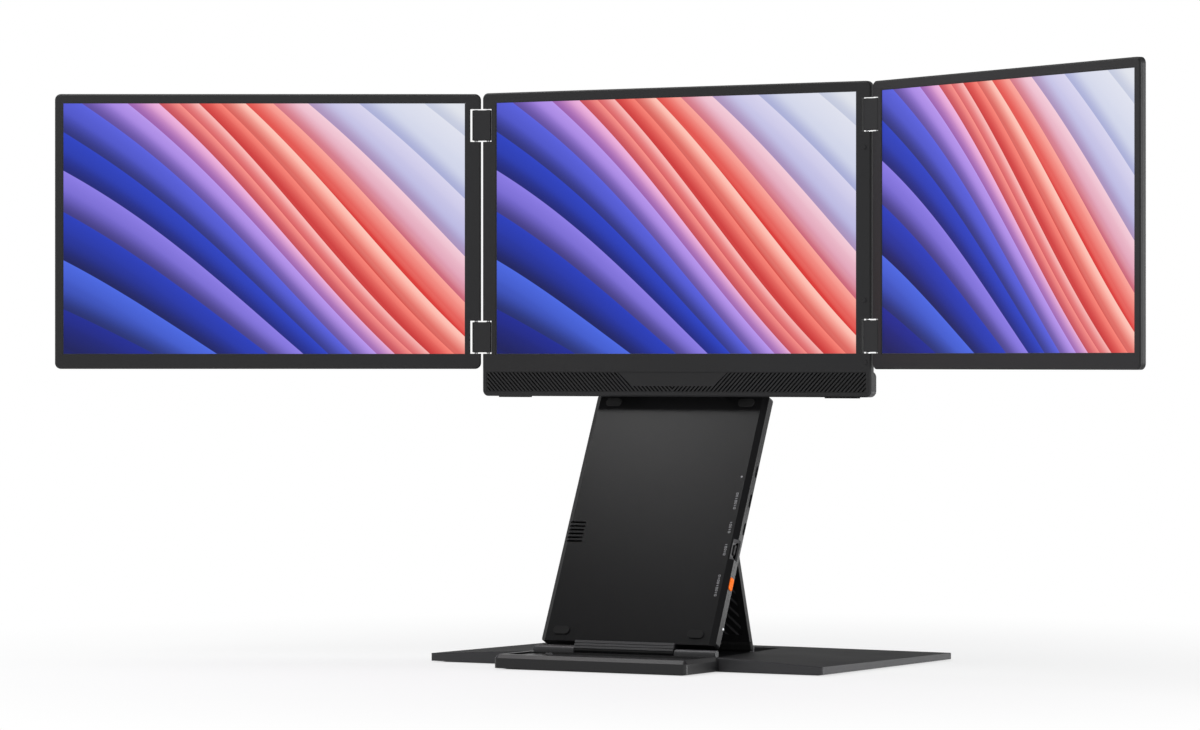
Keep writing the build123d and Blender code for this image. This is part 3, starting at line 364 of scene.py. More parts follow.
def circuit(name):
    """Green solder mask with darker copper tracks and small pale pads."""
    material, t, principled, place = shader(name, 0.35, coat=0.3)
    tracks = t.add("ShaderNodeTexBrick",
                   {"Color1": (0.012, 0.075, 0.03, 1), "Color2": (0.01, 0.06, 0.025, 1),
                    "Mortar": (0.02, 0.14, 0.05, 1), "Scale": 160.0, "Mortar Size": 0.06},
                   {"Vector": place})
    dots = t.add("ShaderNodeTexVoronoi", {"Scale": 420.0, "Randomness": 0.3}, {"Vector": place})
    pads = t.ramp(dots.outputs[0], 0.2, 0.12)
    t.join(t.mix(pads, tracks.outputs[0], (0.55, 0.5, 0.36)), principled.inputs["Base Color"])
    t.join(t.math("MULTIPLY", pads, 0.8), principled.inputs["Metallic"])
    raise_bump(t, principled, tracks.outputs[1], 0.02 * mm)
    return material


# ---------------------------------------------------------------- the pictures on the screens
def light_of(red, green, blue):
    """Linear light of a colour given as display values from 0 to 255."""
    return tuple(float(v) for v in (np.array([red, green, blue]) / 255.0) ** 2.2)


# Each ribbon: (rise, slope, wave, pace, start, spread, edge colour, deep colour). The ribbon
# covers the picture where height + slope * along + wave * sin(pace * along + start) < rise.
ribbons = [
    (2.10, 0.80, 0.05, 3.0, 0.2, 0.40, (222, 224, 236), (188, 196, 226)),
    (1.94, 0.84, 0.05, 3.2, 0.7, 0.28, (216, 212, 236), (164, 164, 216)),
    (1.81, 0.88, 0.05, 3.4, 1.1, 0.18, (244, 206, 218), (214, 138, 164)),
    (1.72, 0.92, 0.05, 3.6, 1.5, 0.14, (252, 168, 156), (222, 70, 64)),
    (1.64, 0.95, 0.05, 3.8, 1.8, 0.13, (255, 204, 190), (238, 100, 88)),
    (1.56, 0.97, 0.05, 3.9, 2.1, 0.13, (250, 132, 118), (196, 34, 44)),
    (1.48, 0.98, 0.05, 4.0, 2.4, 0.13, (255, 196, 192), (232, 92, 100)),
    (1.40, 0.97, 0.05, 4.0, 2.6, 0.14, (252, 150, 140), (206, 50, 60)),
    (1.32, 0.96, 0.05, 3.9, 2.8, 0.18, (240, 182, 222), (190, 96, 180)),
    (1.20, 0.92, 0.05, 3.7, 3.0, 0.26, (184, 150, 236), (92, 64, 190)),
    (1.04, 0.86, 0.06, 3.4, 3.3, 0.34, (88, 96, 224), (14, 18, 104)),
    (0.86, 0.78, 0.06, 3.1, 3.6, 0.34, (40, 64, 196), (6, 10, 72)),
    (0.68, 0.68, 0.07, 2.8, 4.0, 0.30, (140, 124, 232), (34, 34, 140)),
    (0.50, 0.58, 0.07, 2.6, 4.5, 0.30, (36, 60, 190), (6, 10, 70)),
    (0.30, 0.46, 0.08, 2.4, 5.0, 0.30, (74, 104, 230), (12, 20, 104)),
    (0.12, 0.34, 0.08, 2.2, 5.4, 0.22, (24, 40, 150), (4, 6, 50)),
]


def ribbon_picture():
    """Overlapping flowing ribbons, pale behind and deep blue in front.

    Every ribbon ends at a sine curve on a slope; its colour runs from a light edge to a deep
    shade with the distance under that curve, and it throws a soft shadow on what lies behind.
    """
    group, t, given, out = make_group("ribbon picture", {"Place": (VECTOR, None)}, {"Colour": COLOUR})
    split = t.add("ShaderNodeSeparateXYZ", None, {0: given.outputs["Place"]})
    along, height = split.outputs[0], split.outputs[2]
    glow = t.ramp(t.math("MULTIPLY_ADD", along, 0.6, height), 1.2, 1.9)
    picture = t.mix(glow, light_of(190, 200, 226), light_of(222, 225, 233))
    for rise, slope, wave, pace, start, spread, pale, dark in ribbons:
        edge, deep = light_of(*pale), light_of(*dark)
        bend = t.math("MULTIPLY", t.math("SINE", t.math("MULTIPLY_ADD", along, pace, start)), wave)
        level = t.math("ADD", t.math("MULTIPLY_ADD", along, slope, height), bend)
        under = t.math("SUBTRACT", rise, level)
        shadow = t.ramp(under, -0.09, 0.0, 0.0, 0.55)
        picture = t.mix(shadow, picture, deep, "MULTIPLY")
        depth = t.ramp(under, 0.0, spread, smooth=False)
        body = t.mix(t.math("POWER", depth, 0.7), edge, deep)
        streak = t.math("SINE", t.math("MULTIPLY", under, 3.1 * pi / spread))
        body = t.mix(t.ramp(streak, 0.2, 1.0, 0.0, 0.16), body, edge)
        picture = t.mix(t.ramp(under, 0.0, 0.003), picture, body)
    t.join(picture, out.inputs["Colour"])
    return group


picture_group = ribbon_picture()


def screen_face(name, origin, turn):
    """A lit display: the ribbon picture on a panel whose lit corner and turn are given.

    In the picture's own measure the lit area is one high and lit_ratio wide.
    """
    lit_height = (screen_high - screen_low) * mm
    material, t, principled, place = shader(name, 0.4, shine=0.12)
    moved = t.add("ShaderNodeVectorMath", {1: tuple(-v * mm for v in origin)}, {0: place},
                  operation="ADD")
    turned = t.add("ShaderNodeVectorRotate", {"Angle": turn, "Axis": (0, 0, 1)},
                   {"Vector": moved.outputs[0]}, rotation_type="AXIS_ANGLE")
    scaled = t.add("ShaderNodeVectorMath", {1: (1 / lit_height,) * 3}, {0: turned.outputs[0]},
                   operation="MULTIPLY")
    picture = t.add("ShaderNodeGroup", node_tree=picture_group)
    t.join(scaled.outputs[0], picture.inputs["Place"])
    split = t.add("ShaderNodeSeparateXYZ", None, {0: scaled.outputs[0]})
    inside = t.math("MULTIPLY", t.band(split.outputs[0], 0.0, lit_ratio, 0.001),
                    t.band(split.outputs[2], 0.0, 1.0, 0.001))
    lit = t.mix(inside, (0.004, 0.004, 0.005), picture.outputs["Colour"])
    principled.inputs["Base Color"].default_value = (0.01, 0.01, 0.012, 1)
    t.join(lit, principled.inputs["Emission Color"])
    principled.inputs["Emission Strength"].default_value = 1.0
    return material


# Each picture starts at the lit area's lower left corner, as the viewer sees it.
screens = {
    "centre": screen_face("centre screen", (-centre_active, glass_depth, screen_low), 0.0),
    "right": screen_face("right screen", wing_point(1, wing_active[0], screen_low, glass_depth),
                         wing_turn),
    "left": screen_face("left screen", wing_point(-1, wing_active[1], screen_low, glass_depth),
                        -wing_turn),
}

# ---------------------------------------------------------------- finishes
finishes = {
    "bezel": moulding("bezel plastic", (0.028, 0.028, 0.0286), 0.46, 0.3, shine=0.14),
    "lip": moulding("gasket rubber", (0.07, 0.07, 0.072), 0.5, 0.3, 0.004),
    "rear": moulding("rear shell paint", (0.024, 0.024, 0.025), 0.42, 0.4, shine=0.18),
    "guide": moulding("light guide film", (0.75, 0.78, 0.82), 0.2, 2.0, 0.005, dust=0.0, shine=0.5),
    "board": circuit("circuit board"),
    "steel": metal("ground steel", (0.42, 0.42, 0.43), 0.32, (60.0, 60.0, 1.0)),
    "hinge": moulding("hinge shell paint", (0.020, 0.020, 0.021), 0.38, 0.3, 0.008, shine=0.25),
    "grille": moulding("grille plastic", (0.027, 0.027, 0.0275), 0.46, 0.3, shine=0.14),
    "gauze": metal("speaker gauze", (0.010, 0.010, 0.011), 0.5, (40.0, 1.0, 40.0), metallic=0.6),
    "speaker": moulding("speaker case plastic", (0.012, 0.012, 0.012), 0.6, 0.5),
    "rubber": moulding("black rubber", (0.014, 0.014, 0.014), 0.66, grain=0.5, bump=0.02, patch=0.35,
                       shine=0.15),
    # The plate: painted light, a lighter colour on the walls of the button's recess.
    "plate": mix_in_painted_light(moulding("plate shell plastic", (0.007, 0.007, 0.0074), 0.28, grain=0.7,
                             bump=0.03, patch=0.05, dust=0.0, shine=0.16),
                    (0.10, 0.10, 0.102), recess_painted_light),
    "spreader": metal("spreader aluminium", (0.62, 0.62, 0.62), 0.35, (60.0, 1.0, 60.0)),
    "port": metal("port shell metal", (0.10, 0.10, 0.105), 0.40, (60.0, 1.0, 1.0)),
    "gold": metal("contact gilding", (0.86, 0.62, 0.26), 0.25, (1.0, 60.0, 1.0)),
    "orange": moulding("orange plastic", (0.80, 0.145, 0.008), 0.5, grain=0.4, bump=0.01, patch=0.2,
                       shine=0.06),
    "lamp": moulding("lamp window", (0.85, 0.88, 0.90), 0.25, 0.8, 0.004, shine=0.5),
    "print": moulding("printed marks", (0.36, 0.36, 0.37), 0.6, 0.5, 0.004),
    "button": moulding("button plastic", (0.010, 0.010, 0.011), 0.40, 0.3, 0.005, shine=0.15),
    "knuckle": metal("knuckle paint", (0.048, 0.048, 0.050), 0.42, (1.0, 30.0, 30.0), rate=80.0,
                     bump=0.004, metallic=0.35),
    "dark": moulding("black enamel", (0.006, 0.006, 0.0065), 0.40, 0.4, 0.006),
    # The leg: painted highlights, a lighter colour on the crests of its ribs.
    "leg": mix_in_painted_light(moulding("leg coating", (0.014, 0.014, 0.0145), 0.42, 0.5, 0.01, shine=0.12),
                  (0.07, 0.07, 0.072), rib_painted_highlights),
    "block": moulding("hinge block coating", (0.010, 0.010, 0.0104), 0.38, grain=0.6, bump=0.02,
                      patch=0.2, dust=0.02, shine=0.34),
    # The base: smoother, partly bare metal on its upright faces, whose lighter colour is painted
    # light.
    "base": bare_metal_sides_and_painted_light(moulding("base coating", (0.017, 0.017, 0.018), 0.60, grain=0.6, bump=0.02,
                                  patch=0.3, dust=0.04, shine=0.05),
                         (0.056, 0.056, 0.058), rough=0.38, metallic=0.5),
    "sheet": metal("blackened sheet", (0.05, 0.05, 0.052), 0.45, (1.0, 40.0, 40.0)),
}
node_finish = {
    "speaker_grille": "grille", "speakers": "speaker", "tilt_pins": "steel",
    "bezel_bumpers": "bezel", "chin_pads": "rubber", "plate_front_shell": "plate",
    "plate_back_shell": "plate", "main_board": "board", "heat_spreader": "spreader",
    "port_shells": "port", "orange_insert": "orange", "status_led": "lamp",
    "power_button": "button", "plate_bumpers": "rubber", "plate_screws": "steel",
    "tilt_arms": "dark", "plate_knuckle": "dark", "knuckle_cover": "knuckle",
    "kickstand_bracket": "knuckle", "kickstand_pin": "steel", "kickstand_leg": "leg",
    "kickstand_foot": "rubber", "base_body": "base", "base_sheet": "sheet",
    "base_ballast": "sheet", "base_screws": "steel", "hinge_block": "block",
    "base_knuckles": "knuckle", "hinge_pin": "knuckle", "foot_rest": "base",
    "base_pads": "rubber", "stop_bump": "lip",
}
for side in ("left", "right", "centre"):
    node_finish.update({f"{side}_bezel": "bezel", f"{side}_rear_cover": "rear",
                        f"{side}_backlight": "guide", f"{side}_driver_board": "board",
                        f"{side}_hinge_brackets": "steel", f"{side}_hinge_shafts": "steel",
                        f"{side}_hinge_blocks": "hinge", f"{side}_torque_clips": "steel"})


def paint(obj, material):
    """Puts a material in every slot of an object."""
    if not obj.material_slots:
        obj.data.materials.append(material)
    for slot in obj.material_slots:
        slot.material = material


for name, obj in nodes.items():
    if name.endswith("_lcd_glass"):
        paint(obj, screens[name.split("_")[0]])
    else:
        paint(obj, finishes[node_finish[name]])

# ---------------------------------------------------------------- surfaces
def grid_faces(rows, columns, wrap_rows=False, wrap_columns=False):
    """Corner numbers of the quads of a grid, joined across where it is wrapped."""
    index = np.arange(rows * columns).reshape(rows, columns)
    if wrap_columns:
        index = np.concatenate([index, index[:, :1]], axis=1)
    if wrap_rows:
        index = np.concatenate([index, index[:1]], axis=0)
    quads = np.stack([index[:-1, :-1], index[:-1, 1:], index[1:, 1:], index[1:, :-1]], axis=-1)
    return quads.reshape(-1, 4)


def make_piece(name, grids, material, body=None, faces_to=None, wrap=(False, False)):
    """One mesh from grids of points (rows, columns, 3) in millimetres.

    Closed shells get outward normals; an open surface is turned until its mean normal looks
    along faces_to.
    """
    points, quads, start = [], [], 0
    for grid in grids:
        rows, columns = grid.shape[:2]
        points.append(grid.reshape(-1, 3))
        quads.append(grid_faces(rows, columns, *wrap) + start)
        start += rows * columns
    points, quads = np.concatenate(points), np.concatenate(quads)
    if faces_to is not None:
        a, b, c = (points[quads[:, k]] for k in range(3))
        if np.cross(b - a, c - b).sum(axis=0) @ np.asarray(faces_to, dtype=float) < 0:
            quads = quads[:, ::-1]
    mesh = bpy.data.meshes.new(name)
    mesh.from_pydata((points * mm).tolist(), [], quads.tolist())
    shell = bmesh.new()
    shell.from_mesh(mesh)
    bmesh.ops.remove_doubles(shell, verts=shell.verts, dist=1e-7)
    if faces_to is None:
        bmesh.ops.recalc_face_normals(shell, faces=shell.faces)
    shell.to_mesh(mesh)
    shell.free()
    mesh.materials.append(material)
    mesh.shade_smooth()
    obj = bpy.data.objects.new(name, mesh)
    bpy.context.scene.collection.objects.link(obj)
    if body:
        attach(obj, body)
    return obj


def rounded_loop(u0, u1, v0, v1, corner, per_corner=7):
    """A rounded rectangle as points and outward normals.

    Four quarter circles about the corners' centres; the straight sides join their ends.
    """
    quarter = np.linspace(0, pi / 2, per_corner)
    turns = np.concatenate([quarter + k * pi / 2 for k in range(4)])
    out = np.stack([np.cos(turns), np.sin(turns)], axis=-1)
    corners = np.array([[u1 - corner, v1 - corner], [u0 + corner, v1 - corner],
                        [u0 + corner, v0 + corner], [u1 - corner, v0 + corner]])
    return np.repeat(corners, per_corner, axis=0) + corner * out, out


# ---------------------------------------------------------------- screens: gaskets and gauze
def centre_point(u, z, depth):
    """Point on the centre screen at u along X, z up and a depth behind its front."""
    u, z, depth = np.broadcast_arrays(u, z, depth)
    return np.stack([u, depth, z], axis=-1)


def gasket(place, u0, u1):
    """Lip round a lit area: a half-round profile carried round a rounded rectangle.

    The profile runs from the bezel's edge inwards by the lip's width. Its foot is a flat half
    ellipse that sinks into the glass.
    """
    width, height, sunk, corner = 0.42, 0.34, 0.04, 0.6
    path, out = rounded_loop(u0, u1, screen_low, screen_high, corner)
    turns = np.linspace(0, 2 * pi, 12, endpoint=False)
    across = -width / 2 + (width / 2) * np.cos(turns)
    rise = np.where(np.sin(turns) > 0, height, sunk) * np.sin(turns)
    u = path[:, None, 0] + out[:, None, 0] * across[None, :]
    z = path[:, None, 1] + out[:, None, 1] * across[None, :]
    return place(u, z, glass_depth - 0.01 - rise[None, :])


for side, sign in (("left", -1), ("right", 1)):
    make_piece(f"{side}_screen_gasket",
               [gasket(partial(wing_point, sign), *wing_active)],
               finishes["lip"], f"{side}_wing", wrap=(True, True))
make_piece("centre_screen_gasket", [gasket(centre_point, -centre_active, centre_active)],
           finishes["lip"], "centre_screen", wrap=(True, True))

grille_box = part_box("speaker_grille")
grille_low, grille_high = grille_box[0][2] / mm, grille_box[1][2] / mm
gauze_half = grille_box[1][0] / mm - 1.5


def gauze():
    """Woven gauze behind the grille: a sheet whose depth swings as a product of two sines."""
    pitch, swing, margin, gauze_depth = 1.4, 0.1, 1.2, 2.32
    u = np.arange(-gauze_half, gauze_half, pitch / 4)
    z = np.arange(grille_low + margin, grille_high - margin, pitch / 4)
    u, z = np.meshgrid(u, z)
    weave = swing * np.sin(2 * pi * u / pitch) * np.sin(2 * pi * z / pitch)
    return centre_point(u, z, gauze_depth + weave)


make_piece("grille_gauze", [gauze()], finishes["gauze"], "centre_screen",
           faces_to=(0, -1, 0))

# ---------------------------------------------------------------- plate: marks and contacts
stroke = 0.32                   # line width of the printed marks
ink_t, ink_lift = 0.035, 0.004  # thickness of the print, and its lift off the plate
mark_x = 64.3                   # middle of the row of marks
mark_rows = [(118.3, 13.5), (97.6, 8.6), (80.2, 9.4), (52.2, 18.0)]     # middle and length of each


def printed_loop(x, s, width, length, corner, line=stroke):
    """A raised printed line along a rounded rectangle on the plate.

    Its section is a low arch: rise = thickness times one less the square of the place across.
    """
    path, out = rounded_loop(x - width / 2, x + width / 2, s - length / 2, s + length / 2, corner)
    across = np.linspace(-1, 1, 5)
    rise = ink_t * (1 - across ** 2)
    u = path[:, None, 0] + out[:, None, 0] * across[None, :] * line / 2
    v = path[:, None, 1] + out[:, None, 1] * across[None, :] * line / 2
    return plate_point(u, v, -rise[None, :] - ink_lift)


def bar(x, s, width, length):
    """A filled printed bar: a loop whose line reaches its own middle."""
    short = min(width, length)
    inset = short / 4
    return printed_loop(x, s, width - 2 * inset, length - 2 * inset, (short - 2 * inset) / 2 - 0.01,
                        2 * inset)


def mark_row(s, length):
    """A row of plain signs along the plate: loops and bars by turns, at an even pitch."""
    pitch = 1.9
    count = round(length / pitch)
    row = []
    for step in range(count):
        spot = s + (step - (count - 1) / 2) * pitch
        if step % 3 == 1:
            row.append(bar(mark_x, spot, 1.7, 0.45))
        else:
            row.append(printed_loop(mark_x, spot, 1.55, 1.05, 0.4 if step % 3 else 0.12))
    return row


marks = [bar(mark_x + 0.4, 137.4, 1.5, 1.5)]
for s, length in mark_rows:
    marks += mark_row(s, length)
make_piece("plate_marks", marks, finishes["print"], "plate",
           faces_to=-into_plate, wrap=(True, False))

port_spans = [(139.7, 148.8), (116.1, 126.8), (94.5, 104.1)]    # from the hinge, up the flank
port_depth = 7.1                                # middle of the slots
port_end = 2.1                                  # from a slot's end to its nearest contact


def contact(s, side):
    """One gilt contact on a port's tongue; side is 1 behind the tongue and -1 before it.

    A strip whose rise is an arch over its width, times half a sine along its length.
    """
    half, tongue_half, arch = 0.14, 0.36, 0.07
    inwards = np.linspace(-6.6, -1.9, 6)[:, None]
    across = np.linspace(-half, half, 5)[None, :]
    swell = np.sin(pi * np.linspace(0, 1, 6))[:, None]
    rise = tongue_half + arch * (1 - (across / half) ** 2) * swell
    return plate_point(plate_half + inwards, s + across, port_depth + side * rise)


contacts = {1: [], -1: []}
for s0, s1 in port_spans:
    for s in np.linspace(s0 + port_end, s1 - port_end, 10):
        for side in contacts:
            contacts[side].append(contact(s, side))
make_piece("port_contacts_rear", contacts[1], finishes["gold"], "plate",
           faces_to=into_plate)
make_piece("port_contacts_front", contacts[-1], finishes["gold"], "plate",
           faces_to=-into_plate)


def dome(centre, first, second, out, radius, rise):
    """A shallow lens: rise falls from its middle with the square root of one less r squared."""
    r = np.linspace(0, 1, 8)[:, None]
    turns = np.linspace(0, 2 * pi, 28, endpoint=False)[None, :]
    lift = rise * np.sqrt(1 - r ** 2) + 0 * turns
    return (np.asarray(centre) + radius * (r * np.cos(turns))[..., None] * first
            + radius * (r * np.sin(turns))[..., None] * second + lift[..., None] * out)


lamp_spot = plate_point(plate_half + 0.16, 21.8, 8.0)
make_piece("led_lens", [dome(lamp_spot, along_plate, into_plate, x_way, radius=0.94, rise=0.3)],
           finishes["lamp"], "plate", faces_to=x_way, wrap=(False, True))

# ---------------------------------------------------------------- screws and hinge caps
def screw(foot, first, second, out, head_r, head_h, shank_r, length):
    """A cross-recessed screw whose head looks along out.

    Head: a disc with a rounded rim, sunk by a cross whose arms have sloped walls. Shank: a
    cylinder whose radius swings with the turn and the length as a single-start thread.
    """
    turns = np.linspace(0, 2 * pi, 40, endpoint=False)[None, :]
    r = np.array([0.0, 0.12, 0.2, 0.3, 0.42, 0.52, 0.6, 0.75, 0.9, 0.97, 1.0])[:, None] * head_r
    x, y = r * np.cos(turns), r * np.sin(turns)
    arm = np.minimum(np.abs(x), np.abs(y))
    reach = np.maximum(np.abs(x), np.abs(y))
    cross = np.clip((0.17 * head_r - arm) / (0.05 * head_r), 0, 1)
    cross = cross * np.clip((0.6 * head_r - reach) / (0.1 * head_r), 0, 1)
    crown = head_h * (1 - 0.28 * (r / head_r) ** 6)
    top = crown - 0.62 * head_h * cross
    side_r = np.full((2, 1), head_r)
    side_h = np.array([0.6, 0.0])[:, None] * head_h + 0 * turns
    along = np.linspace(0, 1, 60)[:, None]
    pitch = 0.45
    phase = turns - 2 * pi * along * length / pitch
    thread_r = shank_r * (1 + 0.12 * np.cos(phase)) * np.clip((1 - along) * 12, 0, 1)
    shank_h = -along * length + 0 * turns
    x = np.concatenate([x, side_r * np.cos(turns), thread_r * np.cos(turns)])
    y = np.concatenate([y, side_r * np.sin(turns), thread_r * np.sin(turns)])
    z = np.concatenate([top, side_h, shank_h])
    return np.asarray(foot) + x[..., None] * first + y[..., None] * second + z[..., None] * out


plate_back = 9.25                               # depth of the plate screws' seats
plate_screw_spots = [(side * (plate_half - 8.5), s) for side in (-1, 1)
                     for s in (28.0, 110.0, 187.0)]
heads = [screw(plate_point(x, s, plate_back), x_way, along_plate, into_plate,
               head_r=1.95, head_h=0.62, shank_r=0.95, length=6.7) for x, s in plate_screw_spots]
piece = make_piece("plate_screws_threaded", heads, finishes["steel"], "plate",
                   wrap=(False, True))
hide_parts("plate_screws")

sheet_seat = 1.75                               # height of the base screws' seats
base_screw_spots = [(side * 154.0, y) for side in (-1, 1) for y in (-64.0, 31.0, 126.0)]
base_screw_spots += [(side * 24.0, 124.0) for side in (-1, 1)]
heads = [screw((x, y, sheet_seat), x_way, -y_way, -z_way,
               head_r=1.95, head_h=0.72, shank_r=0.95, length=2.5) for x, y in base_screw_spots]
piece = make_piece("base_screws_threaded", heads, finishes["steel"], "base",
                   wrap=(False, True))
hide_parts("base_screws")

# ---------------------------------------------------------------- backs of the screens
def back_screw(place, u, z, first, out):
    """A small cross-recessed screw whose head just breaks the back of a panel."""
    return screw(place(u, z, panel_t - 0.12), first, z_way, out,
                 head_r=1.5, head_h=0.3, shank_r=0.7, length=1.0)


wing_along = np.array([cos(wing_turn), -sin(wing_turn), 0])
wing_back = np.array([sin(wing_turn), cos(wing_turn), 0])
flip = np.array([-1.0, 1.0, 1.0])
edge = 6.0                                      # from a wing's edge to its screws
rows = (wing_low + edge, (wing_low + wing_high) / 2, wing_high - edge)
wing_screws = [back_screw(partial(wing_point, 1), u, z, wing_along, wing_back)
               for u in (16.0, 163.0, 307.0) for z in rows]
for side, grids in (("right", wing_screws), ("left", [grid * flip for grid in wing_screws])):
    make_piece(f"{side}_back_screws", grids, finishes["steel"], f"{side}_wing",
               wrap=(False, True))
centre_screws = [back_screw(centre_point, u, z, x_way, y_way)
                 for u in (-140.0, 0.0, 140.0) for z in (240.0, 320.0, 412.0)]
make_piece("centre_back_screws", centre_screws, finishes["steel"], "centre_screen",
           wrap=(False, True))

# ---------------------------------------------------------------- kickstand foot
def ribbed_foot():
    """Rubber foot: a stadium-ended profile carried along X, swollen by a cosine into ribs.

    The profile has a flat upper end, two sides and a half-round tip; its first and last rings
    shrink to a point, which closes the ends.
    """
    half, pitch, height = leg_t / 2, 2.5, 0.07
    x = np.concatenate([[-leg_half_w], np.arange(-leg_half_w, leg_half_w + 0.01, 0.5), [leg_half_w]])
    swell = height * (1 + np.cos(2 * pi * x / pitch))
    turns = np.linspace(-pi / 2, pi / 2, 16)
    top, shoulder = leg_len - foot_len, leg_len - 5.0
    along = np.concatenate([[top, shoulder], leg_len - half + half * np.cos(turns), [shoulder, top]])
    across = np.concatenate([[-half, -half], half * np.sin(turns), [half, half]])
    grow = np.concatenate([[0, 0.6], np.cos(turns) * 0.3 + 0.7, [0.6, 0]])
    shrink = np.where((np.arange(len(x)) == 0) | (np.arange(len(x)) == len(x) - 1), 0.0, 1.0)
    middle = leg_len - foot_len / 2
    a = middle + (along[None, :] - middle) * shrink[:, None]
    b = across[None, :] * shrink[:, None]
    b = b + np.sign(across)[None, :] * (grow[None, :] * swell[:, None]) * shrink[:, None]
    return (leg_pivot + x[:, None, None] * x_way + a[..., None] * leg_way
            + b[..., None] * leg_back)


piece = make_piece("ribbed_kickstand_foot", [ribbed_foot()], finishes["rubber"], "kickstand",
                   wrap=(False, True))
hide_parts("kickstand_foot")

# ---------------------------------------------------------------- hinge caps
def hinge_cap(x, y, z, out):
    """Round cap on a hinge block's end: a low ring about a flat with a slot for a driver.

    Rise = the flat's height, plus a ring whose section is half a sine, less a straight slot.
    """
    flat_r, cap_r, slot_half = 1.0, 1.75, 0.22
    flat_h, ring_h, slot_d = 0.06, 0.16, 0.05
    r = np.array([0.0, 0.25, 0.5, 0.75, flat_r, 1.2, 1.4, 1.6, cap_r])[:, None]
    turns = np.linspace(0, 2 * pi, 32, endpoint=False)[None, :]
    ring = ring_h * np.sin(np.clip((r - flat_r) / (cap_r - flat_r), 0, 1) * pi)
    slot = slot_d * (np.abs(r * np.sin(turns)) < slot_half) * (r < flat_r)
    rise = flat_h + ring - slot
    return np.stack([x + r * np.cos(turns), y + r * np.sin(turns), z + out * rise], axis=-1)


for side, sign in (("left", -1), ("right", 1)):
    for out, end in ((1, "top"), (-1, "bottom")):
        caps = [hinge_cap(sign * x, y, low + (block_h if out > 0 else 0.0), out)
                for low in block_lows for x, y in (centre_shaft, wing_shaft)]
        make_piece(f"{side}_hinge_{end}_caps", caps, finishes["steel"], f"{side}_link",
                   faces_to=(0, 0, out), wrap=(False, True))

# ---------------------------------------------------------------- stage, light and camera
# Half width, near and far edge of the front block and of the base, a little inside them.
under_base = [(74.0, -118.0, -70.0), (156.0, -69.0, 131.0)]


def floor_material():
    """Pale floor that takes the shadow near the object and fades to the white of the room.

    Right under the base it has no glow of its own, so slots in the base look dark.
    """
    material = bpy.data.materials.new("pale floor")
    material.use_nodes = True
    t = Tree(material.node_tree)
    principled = material.node_tree.nodes["Principled BSDF"]
    output = material.node_tree.nodes["Material Output"]
    principled.inputs["Base Color"].default_value = (0.88, 0.88, 0.88, 1)
    principled.inputs["Roughness"].default_value = 0.7
    place = t.add("ShaderNodeTexCoord").outputs["Object"]
    reach = t.add("ShaderNodeVectorMath", None, {0: place}, operation="LENGTH").outputs["Value"]
    near_edge, far_edge, near_glow = 0.22, 0.75, 0.64
    far = t.ramp(reach, near_edge, far_edge, near_glow, 1.0)
    across, away = (t.along(place, np.zeros(3), way) for way in (x_way, y_way))
    covered = [t.math("MULTIPLY", t.band(across, -half, half, 1.0), t.band(away, low, high, 1.0))
               for half, low, high in under_base]
    far = t.math("MULTIPLY", far, t.math("SUBTRACT", 1.0, t.math("MAXIMUM", *covered)))
    ray = t.add("ShaderNodeLightPath")
    seen = t.math("MAXIMUM", ray.outputs["Is Camera Ray"], ray.outputs["Is Glossy Ray"])
    white = t.add("ShaderNodeEmission", {"Color": (1, 1, 1, 1), "Strength": 1.0})
    blend = t.add("ShaderNodeMixShader", None, {0: t.math("MULTIPLY", far, seen),
                                                1: principled.outputs[0], 2: white.outputs[0]})
    t.join(blend.outputs[0], output.inputs["Surface"])
    return material


span = np.array([-6000.0, 6000.0])
ground = np.stack([*np.meshgrid(span, span, indexing="xy"), np.zeros((2, 2))], axis=-1)
make_piece("floor", [ground], floor_material(), faces_to=z_way)

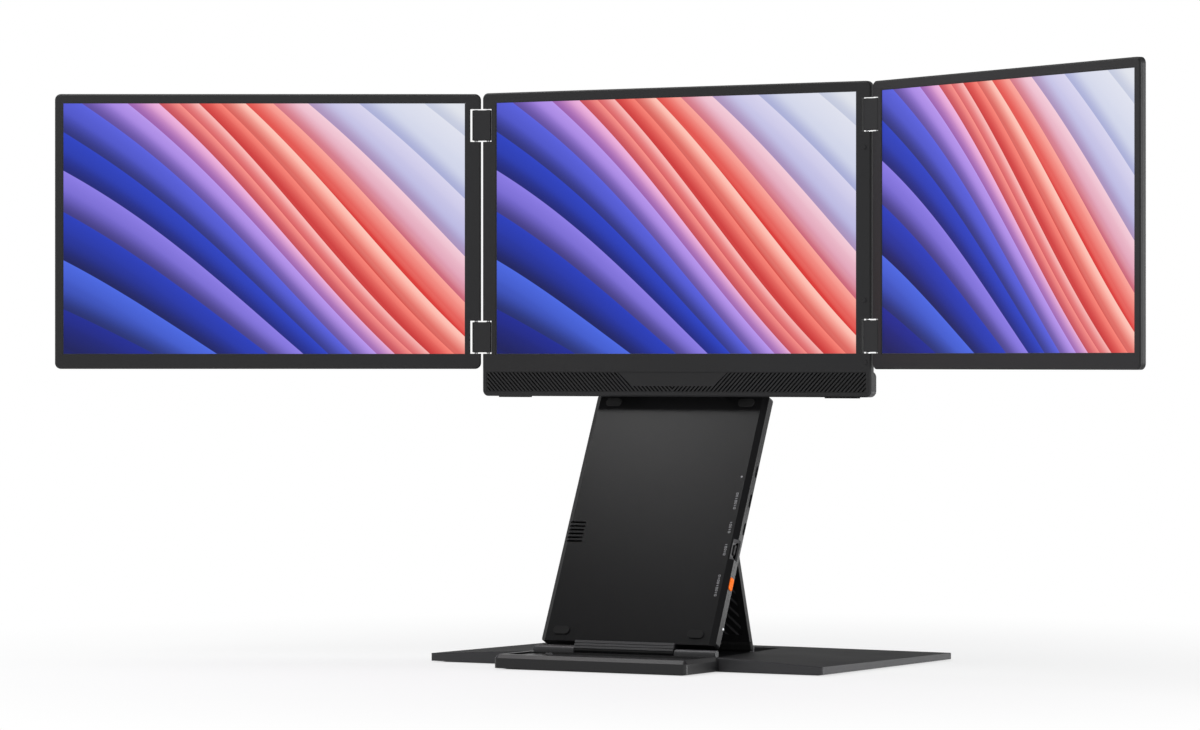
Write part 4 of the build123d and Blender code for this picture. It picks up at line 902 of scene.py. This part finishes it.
world = bpy.data.worlds.new("pale room")
bpy.context.scene.world = world
world.use_nodes = True
room = Tree(world.node_tree)
room.tree.nodes.clear()
ray = room.add("ShaderNodeLightPath")
seen = room.math("MAXIMUM", room.math("MAXIMUM", ray.outputs["Is Camera Ray"],
                                      ray.outputs["Is Glossy Ray"]),
                 ray.outputs["Is Transmission Ray"])
ambient = room.add("ShaderNodeBackground", {"Color": (0.97, 0.98, 1.0, 1), "Strength": 0.4})
way = room.add("ShaderNodeSeparateXYZ", None,
               {0: room.add("ShaderNodeTexCoord").outputs["Generated"]})
walls = room.ramp(way.outputs[2], 0.12, 0.55, 1.0, 0.22)
backdrop = room.add("ShaderNodeBackground", {"Color": (1, 1, 1, 1)},
                    {"Strength": room.math("MAXIMUM", walls, ray.outputs["Is Camera Ray"])})
mixed = room.add("ShaderNodeMixShader", None, {0: seen, 1: ambient.outputs[0], 2: backdrop.outputs[0]})
room.join(mixed.outputs[0], room.add("ShaderNodeOutputWorld").inputs["Surface"])


def soft_lamp(name, place, target, size, watts):
    """A white area lamp aimed at a point."""
    data = bpy.data.lights.new(name, "AREA")
    data.shape = "RECTANGLE"
    data.size, data.size_y = size
    data.energy = watts
    lamp = bpy.data.objects.new(name, data)
    bpy.context.scene.collection.objects.link(lamp)
    lamp.location = place
    aim = Vector(target) - Vector(place)
    lamp.rotation_euler = aim.to_track_quat("-Z", "Y").to_euler()


soft_lamp("near lamp", (-0.50, -0.50, 0.85), (0, 0, 0.2), (0.20, 0.20), 1.15)
soft_lamp("top lamp", (-0.6, -0.15, 1.3), (0, -0.1, 0), (0.9, 0.9), 9.0)
soft_lamp("right lamp", (2.0, 0.6, 0.35), (0, 0, 0.05), (1.0, 0.7), 34)
soft_lamp("low lamp", (0.45, 0.60, 0.04), (0.1, 0, 0.02), (0.35, 0.06), 0.35)
soft_lamp("front lamp", (1.6, -2.4, 0.9), (0, -0.1, 0.1), (1.4, 1.0), 11)

view_turn = radians(29.9)                       # the camera looks level, from the right
camera_data = bpy.data.cameras.new("camera")
camera_data.sensor_width = 36.0
camera_data.sensor_fit = "HORIZONTAL"
camera_data.lens = 142.245
camera_data.shift_y = -0.0025
camera_data.clip_end = 100
camera = bpy.data.objects.new("camera", camera_data)
bpy.context.scene.collection.objects.link(camera)
camera.location = (1.6855, -3.0370, 0.2206)
camera.rotation_euler = (radians(90), 0, view_turn)
bpy.context.scene.camera = camera
bpy.context.scene.view_settings.view_transform = "Standard"
